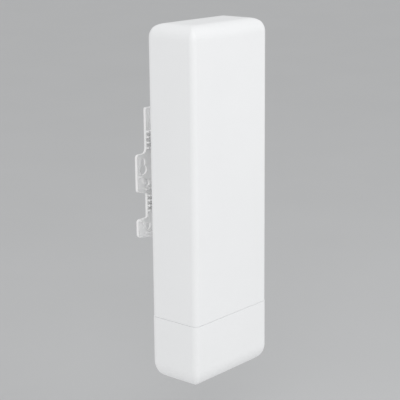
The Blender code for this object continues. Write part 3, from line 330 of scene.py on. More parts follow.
def loft(rings, looped=False):  # a closed skin through rings of points, capped or run back to its start
    shape = bmesh.new()
    loops = [[shape.verts.new(point) for point in ring] for ring in rings]
    pairs = list(zip(loops, loops[1:]))
    if looped:
        pairs.append((loops[-1], loops[0]))
    else:
        shape.faces.new(loops[0])
        shape.faces.new(loops[-1])
    for first, second in pairs:
        for i in range(len(first)):
            shape.faces.new((first[i - 1], first[i], second[i], second[i - 1]))
    bmesh.ops.recalc_face_normals(shape, faces=shape.faces)
    return toMesh(shape)


def together(meshes):  # several shapes that lie apart, as one mesh
    shape = bmesh.new()
    for mesh in meshes:
        shape.from_mesh(mesh)
    return toMesh(shape)


def along(axis, at, across, up):
    return (across, at, up) if axis == "Y" else (across, up, at)


def stack(axis, levels):  # a skin through outlines of as many points each
    return loft([[along(axis, at, u, v) for u, v in outline] for at, outline in levels])


def prism(axis, outline, low, high):
    return stack(axis, [(low, outline), (high, outline)])


def around(count):
    return [2 * math.pi * i / count for i in range(count)]


def spread(count, pitch):  # offsets of a row about its middle
    return [pitch * (i - (count - 1) / 2) for i in range(count)]


def arc(u, v, radius, start, sweep, steps):
    turns = [start + sweep * i / steps for i in range(steps + 1)]
    return [(u + radius * math.cos(t), v + radius * math.sin(t)) for t in turns]


def circle(u, v, radius, steps=None):
    return arc(u, v, radius, 0.0, 2 * math.pi, steps or meshing["roundSteps"])[:-1]


def slotForm(length, width, levels):  # upright with round ends, grown or shrunk at its levels
    reach = (length - width) / 2
    steps = 2 * meshing["arcSteps"]
    rings = []
    for at, grow in levels:
        radius = width / 2 + grow
        right = arc(reach, midY, radius, -math.pi / 2, math.pi, steps)
        rings.append((at, right + arc(-reach, midY, radius, math.pi / 2, math.pi, steps)))
    return stack("Z", rings)


def turned(axis, centre, profile, steps=None):  # a profile turned about an axis
    return stack(axis, [(at, circle(*centre, radius, steps)) for at, radius in profile])


def rod(axis, centre, radius, low, high, steps=None):
    return turned(axis, centre, [(low, radius), (high, radius)], steps)


def bends(corners):  # each corner with the ways back and ahead, and half the angle between them
    for i, (u, v, radius) in enumerate(corners):
        here = Vector((u, v))
        back = (Vector(corners[i - 1][:2]) - here).normalized()
        ahead = (Vector(corners[(i + 1) % len(corners)][:2]) - here).normalized()
        yield here, back, ahead, back.angle(ahead) / 2, radius


def rounded(corners, steps=None):  # an outline through corners (u, v, radius), with an arc for each radius
    count = steps or meshing["arcSteps"]
    points = []
    for here, back, ahead, half, radius in bends(corners):
        if not radius:
            points.append(tuple(here))
            continue
        centre = here + (back + ahead).normalized() * radius / math.sin(half)
        start = here + back * radius / math.tan(half) - centre
        turn = math.copysign(math.pi - 2 * half, ahead.x * back.y - ahead.y * back.x)
        points += [tuple(centre + Matrix.Rotation(turn * i / count, 2) @ start) for i in range(count + 1)]
    return points


def inset(corners, distance):  # the corners of an outline moved in, and their arcs with them
    moved = []
    for here, back, ahead, half, radius in bends(corners):
        bend = ahead.x * back.y - ahead.y * back.x
        point = here + (back + ahead).normalized() * math.copysign(distance / math.sin(half), bend)
        moved.append((*point, max(radius - math.copysign(distance, bend), meshing["leastArc"])))
    return moved


def rectangle(u, v, radius=0.0, steps=None):
    return rounded([(u[i], v[k], radius) for i, k in ((0, 0), (1, 0), (1, 1), (0, 1))], steps)


def box(x, y, z):
    return prism("Z", rectangle(x, y), *z)


def spun(outline, centre, turn):
    hub = Vector(centre)
    return [tuple(hub + Matrix.Rotation(turn, 2) @ (Vector(point) - hub)) for point in outline]


def quarter(radius, steps=None):  # inset and rise along a quarter round, from the wall to the end face
    points = arc(0.0, 0.0, radius, 0.0, math.pi / 2, steps or meshing["filletSteps"])
    return [(radius - u, v) for u, v in points]


def roundOver(end, way, size, edge, steps, share=1.0):  # levels of a round edge, up to the end face
    return [(end - way * (edge - rise), size - shrink * share) for shrink, rise in quarter(edge, steps)]


def domed(spot, start, end, radius, dome, share=1.0):  # a pin along Y with a round end
    profile = [(start, radius)] + roundOver(end, 1, radius, dome, meshing["domeSteps"], share)
    return turned("Y", spot, profile, meshing["pinSteps"])


def broken(start, end, edge, size=0.0):  # levels of a form with both its end edges taken off
    return [(start, size - edge), (start + edge, size), (end - edge, size), (end, size - edge)]


def flared(at, edge, size):  # levels of a hole that starts wider
    return [(at - edge, size + 2 * edge), (at + edge, size)]


def layers(axis, node, corner, levels):  # a node's box along an axis, grown or shrunk at its levels
    low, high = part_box(node)
    rings = []
    for at, grow in levels:
        up = (low.z - grow, high.z + grow) if axis == "Y" else (low.y - grow, high.y + grow)
        rings.append((at, rectangle((low.x - grow, high.x + grow), up, corner, meshing["cornerSteps"])))
    return stack(axis, rings)


def centreOf(node, axis="Y"):  # a node's middle, seen along an axis
    x, y, z = ((low + high) / 2 for low, high in zip(*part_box(node)))
    return (x, z) if axis == "Y" else (x, y)


def spotsOf(stem, numbers):
    return [centreOf(f"{stem}_{number}") for number in numbers]


def newObject(name, data):
    data.name = name
    made = bpy.data.objects.new(name, data)
    bpy.context.scene.collection.objects.link(made)
    return made


def modify(piece, kind, **settings):  # one modifier, and what it shows becomes the mesh
    change = piece.modifiers.new(kind, kind)
    for name, value in settings.items():
        setattr(change, name, value)
    bpy.context.view_layer.update()
    seen = piece.evaluated_get(bpy.context.evaluated_depsgraph_get())
    mesh = bpy.data.meshes.new_from_object(seen)
    old = piece.data
    piece.modifiers.clear()
    piece.data = mesh
    mesh.name = old.name
    bpy.data.meshes.remove(old)


def carve(piece, operation, *meshes):
    for mesh in meshes:
        tool = newObject("tool", mesh)
        modify(piece, "BOOLEAN", operation=operation, object=tool)
        bpy.data.objects.remove(tool)
        bpy.data.meshes.remove(mesh)


def soften(piece, width, steps):  # merges what the cuts left in one plane, then rounds every sharp edge
    shape = bmesh.new()
    shape.from_mesh(piece.data)
    flat = math.radians(meshing["flatAngle"])
    bmesh.ops.remove_doubles(shape, verts=shape.verts, dist=meshing["weld"])
    bmesh.ops.dissolve_limit(shape, angle_limit=flat, verts=shape.verts, edges=shape.edges)
    shape.to_mesh(piece.data)
    shape.free()
    sharp = math.radians(meshing["softAngle"])
    modify(
        piece, "BEVEL", width=width, segments=steps, limit_method="ANGLE", angle_limit=sharp,
        use_clamp_overlap=False, miter_outer="MITER_ARC",
    )


def dress(piece, node, slot, body="housing"):  # shading, finish, carrier and the solid it stands for
    piece.data.shade_smooth()
    piece.data.set_sharp_from_angle(angle=math.radians(meshing["smoothAngle"]))
    modify(piece, "WEIGHTED_NORMAL", keep_sharp=True)
    piece.data.materials.clear()
    piece.data.materials.append(finishes[slot])
    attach(piece, body)
    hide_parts(node)


def make(name, node, slot, mesh, adds=(), cuts=(), body="housing"):
    piece = newObject(name, mesh)
    carve(piece, "UNION", *adds)
    carve(piece, "DIFFERENCE", *cuts)
    dress(piece, node, slot, body)


# Housing shell: deep box with the front face, both sides and the top, and the neck for the lower cover

shell = {
    "edge": 0.0045, "crease": 0.0012, "top": 0.010, "seamGap": 0.0001, "seamRound": 0.0002, "seamSteps": 4,
    "neckInset": 0.00255, "neckEdge": 0.0005, "wall": 0.0032, "ledge": 0.0012, "opening": 0.003,
    "boss": 0.0032, "pilot": 0.0017, "boreCorner": 0.0006, "boreRise": 0.002,
    "seal": 0.00015, "fit": 0.0003, "plug": 0.0025,
}
seamZ = coverHigh.z + shell["seamGap"]
rim = {
    "half": gasketHigh.x + shell["seal"],
    "low": gasketLow.z - shell["seal"], "high": gasketHigh.z + shell["seal"],
    "ledgeY": gasketLow.y - shell["seal"], "flangeY": gasketHigh.y + shell["seal"],
}
plugY = rim["flangeY"] - shell["plug"]


def bodyRing(shrink, level, radius):
    half = halfWidth - shrink
    return [(x, y, level) for x, y in rectangle((-half, half), (frontY + shrink, backY - shrink), radius)]


def shellForm():  # the outer form with its neck
    neck = shell["neckInset"]
    neckRadius = shell["edge"] - neck
    edge = shell["neckEdge"]
    low = shellLow.z
    rings = [bodyRing(neck + edge, low, neckRadius), bodyRing(neck, low + edge, neckRadius)]
    rings.append(bodyRing(neck, seamZ, neckRadius))
    lip = shell["seamRound"]
    for shrink, rise in reversed(quarter(lip, shell["seamSteps"])):
        rings.append(bodyRing(shrink, seamZ + lip - rise, shell["edge"]))
    for shrink, rise in quarter(shell["top"]):
        fold = max(shell["edge"] - shrink, shell["crease"])
        rings.append(bodyRing(shrink, topZ - shell["top"] + rise, fold))
    return loft(rings)


def openingOutline(reach, gap):  # the rear opening, or the cavity behind its ledge
    half = rim["half"] - reach - gap
    spanZ = (rim["low"] + reach + gap, rim["high"] - reach - gap)
    return rectangle((-half, half), spanZ, shell["opening"] + shell["ledge"] - reach - gap)


def bossMesh(x, z, end):
    side = math.copysign(1, x)
    radius = shell["boss"]
    outline = arc(x, z, radius, math.pi / 2, side * math.pi, 2 * meshing["arcSteps"])
    web = side * (rim["half"] - shell["ledge"] + shell["seamGap"])
    outline += [(web, z - radius), (web, z + radius)]
    return prism("Y", outline, frontY + shell["wall"] - shell["seamGap"], end)


def makeShell():
    piece = newObject("housingShell", shellForm())
    fit = shell["fit"]
    boreX = plateHigh.x + fit
    bore = rectangle((-boreX, boreX), (plateLow.y - fit, plateHigh.y + fit), shell["boreCorner"])
    carve(
        piece, "DIFFERENCE",
        prism("Y", openingOutline(shell["ledge"], 0.0), frontY + shell["wall"], backY + beyond),
        prism("Y", openingOutline(0.0, 0.0), rim["ledgeY"], backY + beyond + fit),
        prism("Z", bore, shellLow.z - beyond, rim["low"] + shell["boreRise"]),
    )
    spots = spotsOf("rear_screw", rearNumbers)
    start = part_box("rear_screw_1")[0].y - fit
    carve(piece, "UNION", together([bossMesh(*spot, plugY - fit) for spot in spots]))
    carve(piece, "DIFFERENCE", together([rod("Y", spot, shell["pilot"], start, backY) for spot in spots]))
    dress(piece, "front_shell", "white_plastic")


makeShell()
print("housing shell made")


# Lower cover: slips over the neck, rounded all round its bottom, with a slot for the cables

cover = {
    "bottom": 0.0147, "wall": 0.0024, "floor": 0.0026, "rimRound": 0.0002, "rimSteps": 4,
    "exitLong": 0.026, "exitWide": 0.0096, "exitFlare": 0.0006,
}
coverProud = coverHigh.x - halfWidth


def coverRings():  # up the outside, over the rim and down the inside
    rings = []
    radius = cover["bottom"]
    outer = shell["edge"] + coverProud
    for shrink, rise in reversed(quarter(radius)):
        fold = max(outer - shrink, shell["crease"])
        rings.append(bodyRing(shrink - coverProud, bottomZ + radius - rise, fold))
    lip = quarter(cover["rimRound"], cover["rimSteps"])
    lipZ = coverHigh.z - cover["rimRound"]
    wall = cover["wall"]
    rings += [bodyRing(shrink - coverProud, lipZ + rise, outer) for shrink, rise in lip]
    rings += [bodyRing(wall - coverProud - shrink, lipZ + rise, outer - wall) for shrink, rise in lip[::-1]]
    radius -= wall
    floor = bottomZ + cover["floor"]
    for shrink, rise in quarter(radius):
        rings.append(bodyRing(wall - coverProud + shrink, floor + radius - rise, outer - wall))
    return rings


def makeCover():
    levels = flared(bottomZ, cover["exitFlare"], 0.0) + [(bottomZ + cover["floor"] + beyond, 0.0)]
    cut = slotForm(cover["exitLong"], cover["exitWide"], levels)
    make("lowerCover", "bottom_cover", "white_plastic", loft(coverRings()), cuts=[cut], body="cover")


makeCover()
print("lower cover made")


# Back panel: closes the shell, with two hooked feet, six screw holes and four light holes

panel = {
    "fit": 0.0003, "footCorner": 0.0012, "footEdge": 0.0004, "footWall": 0.0024, "footStem": 0.0135,
    "footHead": 0.0235, "footHeadThick": 0.003, "footRows": ((0.033, 0.047), (-0.012, 0.002)),
    "screwShank": 0.0017, "screwHead": 0.0030, "headDeep": 0.0021, "mouth": 0.0004, "lightHole": 0.0016,
    "post": 0.0033, "pilot": 0.00145, "blindPilot": 0.0063, "sheetPosts": (2, 4), "overlap": 0.0005,
}


def footShapes(low, high):  # stem, head and the hollow inside
    stem = panel["footStem"] / 2
    head = panel["footHead"] / 2
    headFront = panelHigh.y - panel["footHeadThick"]
    edge = panel["footEdge"]
    overlap = panel["overlap"]
    corner = panel["footCorner"]
    wall = panel["footWall"]
    foot = rectangle((-stem, stem), (low, high), corner)
    full = rectangle((-head, head), (low, high), corner)
    small = rectangle((-head + edge, head - edge), (low + edge, high - edge), corner - edge / 2)
    levels = [(headFront, small), (headFront + edge, full), (panelHigh.y - edge, full), (panelHigh.y, small)]
    room = rectangle((-stem + wall, stem - wall), (low + wall, high - wall), corner)
    stemMesh = prism("Y", foot, backY - overlap, headFront + overlap)
    return stemMesh, stack("Y", levels), prism("Y", room, plugY - beyond, headFront - wall)


def steppedHole(spot):  # screw hole with a seat for the head and a broken edge
    shank = panel["screwShank"]
    head = panel["screwHead"]
    mouth = panel["mouth"]
    seat = backY - panel["headDeep"]
    profile = [(plugY - beyond, shank), (seat, shank), (seat, head), (backY - mouth, head)]
    return turned("Y", spot, profile + [(backY + beyond, head + mouth + beyond)])


def lightSpots():
    level = centreOf("light_pipe")[1]
    return [(spot[0], level) for spot in spotsOf("status_light", smallNumbers)]


def makePanel():
    fit = panel["fit"]
    overlap = panel["overlap"]
    mouth = panel["mouth"]
    hole = panel["lightHole"]
    piece = newObject("backPanel", prism("Y", openingOutline(0.0, fit), rim["flangeY"], backY + beyond))
    carve(piece, "INTERSECT", shellForm())
    stems, heads, hollows = zip(*(footShapes(*row) for row in panel["footRows"]))
    inner = prism("Y", openingOutline(shell["ledge"], fit), plugY, rim["flangeY"] + overlap)
    carve(piece, "UNION", inner, together(stems), together(heads))
    posts = []
    holes = list(hollows)
    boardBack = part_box("main_board")[1].y
    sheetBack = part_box("reflector_plate")[1].y
    for stem, numbers, back, end in (
        ("board_screw", smallNumbers, boardBack, plugY),
        ("reflector_screw", panel["sheetPosts"], sheetBack, sheetBack + panel["blindPilot"]),
    ):
        for spot in spotsOf(stem, numbers):
            posts.append(rod("Y", spot, panel["post"], back + fit, plugY + overlap))
            holes.append(rod("Y", spot, panel["pilot"], back - beyond, end))
    holes += [steppedHole(spot) for spot in spotsOf("rear_screw", rearNumbers)]
    profile = [(plugY - beyond, hole), (backY - mouth, hole), (backY + mouth, hole + 2 * mouth)]
    holes += [turned("Y", spot, profile) for spot in lightSpots()]
    carve(piece, "UNION", together(posts))
    carve(piece, "DIFFERENCE", together(holes))
    dress(piece, "rear_cover", "white_plastic")


makePanel()
print("back panel made")


# Bracket: thin plate with a low rim, two pairs of ears, keyholes, ribs, a raised middle and the hooks

bracket = {
    "spine": 0.0533, "floor": 0.0017, "rim": 0.001, "rimRise": 0.0004, "end": 0.001, "corner": 0.0022,
    "lowCorner": 0.0032, "topFillet": 0.0034, "rootFillet": 0.0013, "arcSteps": 6, "midTop": 0.01535,
    "midTip": -0.0125, "midRoot": -0.015, "lowTop": -0.03345, "lowTip": -0.0473, "toe": 0.0206,
    "seatWidth": 0.014, "seatDepth": 0.0078, "groove": 0.036, "grooveFlat": 0.010, "rib": 0.0013,
    "strapRise": 0.0026, "ribRise": 0.0014, "ribEdge": 0.002, "ribLift": 0.0064, "ribBend": 0.0056,
    "crossDrop": 0.0045, "crossReach": 0.0024, "soft": 0.0002, "softSteps": 2, "overlap": 0.0005,
}
strapSeats = {"ribs": 4, "edges": (0.00385, 0.00535), "pitches": (0.00403, 0.0038)}  # upper, lower
keyhole = {"x": 0.0295, "z": 0.0033, "radius": 0.0037, "slot": 0.0042, "reach": 0.0084}
wallHole = {"radius": 0.0025, "x": 0.0256, "levels": (-0.0072, -0.0405)}
hook = {"wall": 0.003, "lip": 0.0028, "gap": 0.0004, "stop": 0.002}
bracketTop = bracketHigh.z
earX = bracketHigh.x
seatY = -bracket["seatDepth"]
grooveY = seatY + bracket["floor"]
slope = -grooveY / ((bracket["groove"] - bracket["grooveFlat"]) / 2)


def bracketCorners():
    spine = bracket["spine"] / 2
    right = [
        (spine, bracketTop, bracket["end"]),
        (spine, bracket["midTop"], bracket["topFillet"]),
        (earX, bracket["midTop"], bracket["corner"]),
        (earX, bracket["midTip"], bracket["corner"]),
        (spine, bracket["midRoot"], bracket["rootFillet"]),
        (spine, bracket["lowTop"], bracket["rootFillet"]),
        (earX, bracket["lowTop"], bracket["corner"]),
        (earX, bracket["lowTip"], bracket["lowCorner"]),
        (bracket["toe"], -bracketTop, bracket["lowCorner"]),
    ]
    return [(-x, z, radius) for x, z, radius in right] + right[::-1]


def keyholeOutline(x):
    slot = keyhole["slot"] / 2
    radius = keyhole["radius"]
    opening = math.asin(slot / radius)
    sweep = 2 * (math.pi - opening)
    endZ = keyhole["z"] + keyhole["reach"] - slot
    head = arc(x, keyhole["z"], radius, math.pi / 2 + opening, sweep, meshing["roundSteps"])
    return head + arc(x, endZ, slot, 0.0, math.pi, 2 * meshing["arcSteps"])


def ribDepth(rise):  # from inside the floor to above it
    return (-bracket["floor"] - rise, -bracket["floor"] / 2)


def bars(half, rise, levels):  # straight ribs from side to side
    rib = bracket["rib"] / 2
    return together([box((-half, half), ribDepth(rise), (z - rib, z + rib)) for z in levels])


def strapBars():
    levels = []
    ears = (bracket["midTop"], bracket["lowTop"])
    for ear, edge, pitch in zip(ears, strapSeats["edges"], strapSeats["pitches"]):
        levels += [ear + edge + pitch * i for i in range(strapSeats["ribs"])]
    return bars(bracket["spine"] / 2 - bracket["rim"] / 2, bracket["strapRise"], levels)


def crossBars():
    levels = [hole - bracket["crossDrop"] for hole in wallHole["levels"]]
    return bars(wallHole["x"] + bracket["crossReach"], bracket["ribRise"], levels)


def earRibs():  # from the ear's edge inward, then bent down to the wall hole
    shapes = []
    rib = bracket["rib"]
    start = earX - bracket["ribEdge"]
    bend = wallHole["x"] + bracket["ribBend"]
    end = wallHole["x"] + wallHole["radius"]
    slant = math.atan2(bracket["ribLift"], bend - end)
    mitre = rib * math.tan(slant / 2)
    for hole in wallHole["levels"]:
        level = hole + bracket["ribLift"]
        outline = [(start, level), (bend, level), (end, hole)]
        outline += [(end + rib / math.sin(slant), hole), (bend + mitre, level - rib), (start, level - rib)]
        for side in (-1, 1):
            shapes.append(prism("Y", [(side * x, z) for x, z in outline], *ribDepth(bracket["ribRise"])))
    return together(shapes)


def mirrored(right):
    return right + [(-x, y) for x, y in reversed(right)]


def hookOutline(side):
    inside = panel["footHead"] / 2 + hook["gap"]
    outside = inside + hook["wall"]
    lip = panel["footStem"] / 2 + hook["gap"]
    foot = grooveY - bracket["floor"] / 2 + slope * ((inside + outside) / 2 - bracket["grooveFlat"] / 2)
    lipBack = panelHigh.y - panel["footHeadThick"] - hook["gap"]
    lipFront = lipBack - hook["lip"]
    points = [(inside, foot), (outside, foot), (outside, lipFront)]
    points += [(lip, lipFront), (lip, lipBack), (inside, lipBack)]
    return [(side * x, y) for x, y in points]


def makeBracket():
    outline = bracketCorners()
    arcSteps = bracket["arcSteps"]
    floor = bracket["floor"]
    front = seatY - beyond
    piece = newObject("mountPlate", prism("Y", rounded(outline, arcSteps), -floor - bracket["rimRise"], 0.0))
    inner = rounded(inset(outline, bracket["rim"]), arcSteps)
    carve(piece, "DIFFERENCE", prism("Y", inner, front, -floor))
    seat = bracket["seatWidth"] / 2
    reach = seat + (-floor - seatY) / slope
    wedge = mirrored([(reach, -floor / 2), (reach, -floor), (seat, seatY)])
    inRim = bracketTop - bracket["rim"] / 2
    carve(piece, "UNION", prism("Z", wedge, -inRim, inRim), strapBars(), earRibs(), crossBars())
    half = bracket["groove"] / 2
    groove = mirrored([(half, bracket["overlap"]), (half, 0.0), (bracket["grooveFlat"] / 2, grooveY)])
    carve(piece, "DIFFERENCE", prism("Z", groove, -bracketTop - beyond, bracketTop + beyond))
    holes = []
    for side in (-1, 1):
        holes.append(keyholeOutline(side * keyhole["x"]))
        holes += [circle(side * wallHole["x"], level, wallHole["radius"]) for level in wallHole["levels"]]
    carve(piece, "DIFFERENCE", together([prism("Y", hole, front, beyond) for hole in holes]))
    hooks = []
    stops = []
    depth = (panelHigh.y - panel["footHeadThick"], grooveY - floor / 2)
    for low, high in panel["footRows"]:
        hooks += [prism("Z", hookOutline(side), low, high) for side in (-1, 1)]
        stopTop = low - hook["gap"]
        stops.append(box((-seat, seat), depth, (stopTop - hook["stop"], stopTop)))
    carve(piece, "UNION", together(hooks), together(stops))
    soften(piece, bracket["soft"], bracket["softSteps"])
    dress(piece, "mount_bracket", "bracket_plastic", "bracket")


makeBracket()
print("bracket made")


# Screws: domed heads with a cross recess, rolled threads on the shank

screw = {
    "edge": 0.0002, "waist": 0.35, "domeSteps": 8, "crown": 0.30, "pitch": 0.0008, "threadDeep": 0.00022,
    "tip": 0.0012, "armReach": 0.56, "armWide": 0.13, "recessDeep": 0.62, "taper": 0.55, "sides": 32,
}
screwKinds = {
    "rear": {"axis": "Y", "way": 1, "head": 0.0018, "shank": 0.0015},
    "small": {"axis": "Y", "way": -1, "head": 0.0016, "shank": 0.00125},
    "ground": {"axis": "Z", "way": -1, "head": 0.0026, "shank": 0.002},
}


def plus(u, v, reach, half):
    corners = [(reach, -half), (reach, half), (half, half), (half, reach), (-half, reach), (-half, half)]
    corners += [(-a, -b) for a, b in corners]
    return [(u + a, v + b) for a, b in corners]


def headProfile(radius, height):  # rise and radius from the seat to the crown
    edge = screw["edge"]
    waist = height * screw["waist"]
    narrowing = radius * (1 - screw["crown"])
    profile = [(0.0, radius - edge), (edge, radius)]
    for shrink, rise in quarter(1.0, screw["domeSteps"]):
        profile.append((waist + (height - waist) * rise, radius - narrowing * shrink))
    return profile


def shankProfile(radius, length):  # from the tip up to the seat, in rolled rings
    deep = screw["threadDeep"]
    pitch = screw["pitch"]
    profile = [(-length, radius * screw["taper"]), (-length + screw["tip"], radius - deep)]
    for number in range(int((length - 2 * screw["tip"]) / pitch)):
        start = -length + screw["tip"] + pitch * number
        profile += [(start + pitch / 2, radius), (start + pitch, radius - deep)]
    return profile + [(-deep, radius), (0.0, radius)]


def makeScrew(name, node, kind):
    low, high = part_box(node)
    axis = kind["axis"]
    way = kind["way"]
    head = kind["head"]
    ends = (low.y, high.y) if axis == "Y" else (low.z, high.z)
    centre = centreOf(node, axis)
    crown = ends[1] if way > 0 else ends[0]
    seat = crown - way * head
    radius = (high.x - low.x) / 2
    profile = shankProfile(kind["shank"], ends[1] - ends[0] - head) + headProfile(radius, head)
    mesh = turned(axis, centre, [(seat + way * rise, at) for rise, at in profile], screw["sides"])
    deep = head * screw["recessDeep"]
    reach = radius * screw["armReach"]
    recess = []
    for rise, share in ((-deep, screw["taper"]), (0.0, 1.0), (deep, 1 / screw["taper"])):
        recess.append((crown + way * rise, plus(*centre, reach * share, radius * screw["armWide"])))
    make(name, node, "steel", mesh, cuts=[stack(axis, recess)])


for number in rearNumbers:
    makeScrew(f"rearScrew{number}", f"rear_screw_{number}", screwKinds["rear"])
for number in smallNumbers:
    makeScrew(f"boardScrew{number}", f"board_screw_{number}", screwKinds["small"])
    makeScrew(f"reflectorScrew{number}", f"reflector_screw_{number}", screwKinds["small"])
makeScrew("groundScrew", "ground_screw", screwKinds["ground"])
print("screws made: 15")


# Port plate: closes the neck, with a raised collar round each socket and round the button

plate = {
    "corner": 0.0006, "edge": 0.0003, "gap": 0.0003, "collar": 0.0011, "collarRise": 0.0008,
    "collarEdge": 0.00025, "socketCorner": 0.0003, "buttonRing": 0.0012,
    "holes": {"reset_button": 0.0023, "vent_plug": 0.0025, "ground_screw": 0.002},
}


def makePortPlate():
    low = plateLow.z - plate["collarRise"]
    inside = (plateLow.z + plateHigh.z) / 2
    through = plateHigh.z + beyond
    edge = plate["collarEdge"]
    gap = plate["gap"]
    collars = []
    holes = []
    for side in bothSides:
        node = f"lan_jack_{side}"
        collars.append(layers("Z", node, plate["corner"], broken(low, inside, edge, gap + plate["collar"])))
        holes.append(layers("Z", node, plate["socketCorner"], flared(low, edge, gap) + [(through, gap)]))
    for node, size in plate["holes"].items():
        centre = centreOf(node, "Z")
        radius = size + gap
        start = plateLow.z
        if node == "reset_button":
            start = low
            ring = radius + plate["buttonRing"]
            collars.append(turned("Z", centre, [(low, ring - edge), (low + edge, ring), (inside, ring)]))
        holes.append(turned("Z", centre, flared(start, edge, radius) + [(through, radius)]))
    mesh = layers("Z", "port_plate", plate["corner"], broken(plateLow.z, plateHigh.z, plate["edge"]))
    make("portPlate", "port_plate", "white_plastic", mesh, collars, holes)


makePortPlate()
print("port plate made")


# Network sockets: a block with a stepped mouth, windows beside the latch, and eight sprung contacts

jack = {
    "wide": 0.0118, "deep": 0.0072, "long": 0.0135, "latchWide": 0.0064, "latchDeep": 0.0028, "wall": 0.0014,
    "mouth": 0.0004, "edge": 0.0003, "corner": 0.00025, "arcSteps": 3,
    "window": (0.0026, 0.0018), "windowDeep": 0.0005, "windowCorner": 0.0003,
}
contact = {
    "count": 8, "pitch": 0.00102, "radius": 0.0002, "strip": 0.0003, "stripHigh": 0.0012, "inStrip": 0.0004,
    "bow": 0.00062, "steps": 12, "sides": 8,
}


def socketCorners(x, near):
    wide = jack["wide"] / 2
    narrow = jack["latchWide"] / 2
    right = [(narrow, near - jack["latchDeep"]), (narrow, near), (wide, near), (wide, near + jack["deep"])]
    spots = [(-u, v) for u, v in reversed(right)] + right
    return [(x + u, v, jack["corner"]) for u, v in spots]


def tube(path, radii, sides):  # a round wire along points that share one X
    across = Vector((1.0, 0.0, 0.0))
    rings = []
    for i, point in enumerate(path):
        before = Vector(path[max(i - 1, 0)])
        after = Vector(path[min(i + 1, len(path) - 1)])
        up = (after - before).normalized().cross(across)
        ways = [across * math.cos(t) + up * math.sin(t) for t in around(sides)]
        rings.append([Vector(point) + way * radii[i] for way in ways])
    return loft(rings)


def makeJack(side):
    node = f"lan_jack_{side}"
    low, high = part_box(node)
    x = centreOf(node)[0]
    mouth = jack["mouth"]
    arcSteps = jack["arcSteps"]
    corners = socketCorners(x, low.y + jack["wall"] + jack["latchDeep"])
    outline = rounded(corners, arcSteps)
    lip = rounded(inset(corners, 2 * mouth), arcSteps)
    socket = stack("Z", [(low.z - mouth, lip), (low.z + mouth, outline), (low.z + jack["long"], outline)])
    wide, tall = jack["window"]
    spanY = (low.y + jack["wall"], low.y + jack["wall"] + tall)
    windows = []
    for at in spread(2, (jack["latchWide"] + jack["wide"]) / 2):
        window = rectangle((x + at - wide / 2, x + at + wide / 2), spanY, jack["windowCorner"], arcSteps)
        windows.append(prism("Z", window, low.z - beyond, low.z + jack["windowDeep"]))
    mesh = layers("Z", node, jack["corner"], broken(low.z, high.z, jack["edge"]))
    make(f"networkSocket{side.title()}", node, "black_plastic", mesh, cuts=[socket, together(windows)])


def makeContacts(side):
    node = f"lan_contacts_{side}"
    low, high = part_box(node)
    x = centreOf(node)[0]
    front = high.y - contact["strip"]
    strip = box((low.x, high.x), (front, high.y), (high.z - contact["stripHigh"], high.z))
    length = high.z - low.z - contact["inStrip"]
    wires = []
    for at in spread(contact["count"], contact["pitch"]):
        path = []
        for step in range(contact["steps"] + 1):
            share = step / contact["steps"]
            bow = contact["bow"] * math.sin(math.pi * share) ** 2
            path.append((x + at, front - bow, low.z + length * share))
        wires.append(tube(path, [contact["radius"]] * len(path), contact["sides"]))
    make(f"socketContacts{side.title()}", node, "gold", strip, adds=[together(wires)])


for side in bothSides:
    makeJack(side)
    makeContacts(side)
print("network sockets made")


# Reset button, vent plug and cable seal

button = {
    "dish": 0.00035, "rings": (0.0003, 0.0007, 0.0011, 0.0014, 0.0017), "edge": 0.00035, "radius": 0.0023,
    "flange": 0.0037, "stem": 0.0013, "fillet": 0.0003, "flangeRise": 0.0040, "shoulderRise": 0.0050,
}
vent = {
    "stem": 0.0025, "cap": 0.0018, "edge": 0.0005, "seatEdge": 0.0002, "snapRises": (0.0026, 0.0029, 0.0034),
    "snapOut": 0.00035, "tipIn": 0.0004, "slots": 6, "slot": 0.0009, "slotRound": 0.9, "slotDeep": 0.0007,
    "slotReach": (0.0017, 0.0036), "hub": 0.0011,
}
seal = {
    "lip": 0.0018, "lipHigh": 0.0016, "edge": 0.0004, "gap": 0.0003, "holeX": 0.00625, "hole": 0.0033,
    "rib": 0.0003, "ribs": 3, "ribSpan": (0.3, 0.5, 0.7),  # start, crest and end as shares of the pitch
}


def makeButton():
    low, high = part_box("reset_button")
    stem = button["stem"]
    fillet = button["fillet"]
    flange = low.z + button["flangeRise"]
    shoulder = low.z + button["shoulderRise"]
    rings = button["rings"]
    profile = [(low.z + button["dish"] * (1 - (radius / rings[-1]) ** 2), radius) for radius in rings]
    profile += roundOver(low.z, -1, button["radius"], button["edge"], meshing["rimSteps"])[::-1]
    profile += [(flange, button["radius"])] + broken(flange, shoulder, fillet, button["flange"])
    profile += [(shoulder, stem + fillet), (shoulder + fillet, stem)]
    profile += [(high.z - fillet, stem), (high.z, stem - fillet)]
    mesh = turned("Z", centreOf("reset_button", "Z"), profile)
    make("resetButton", "reset_button", "grey_plastic", mesh, body="button")


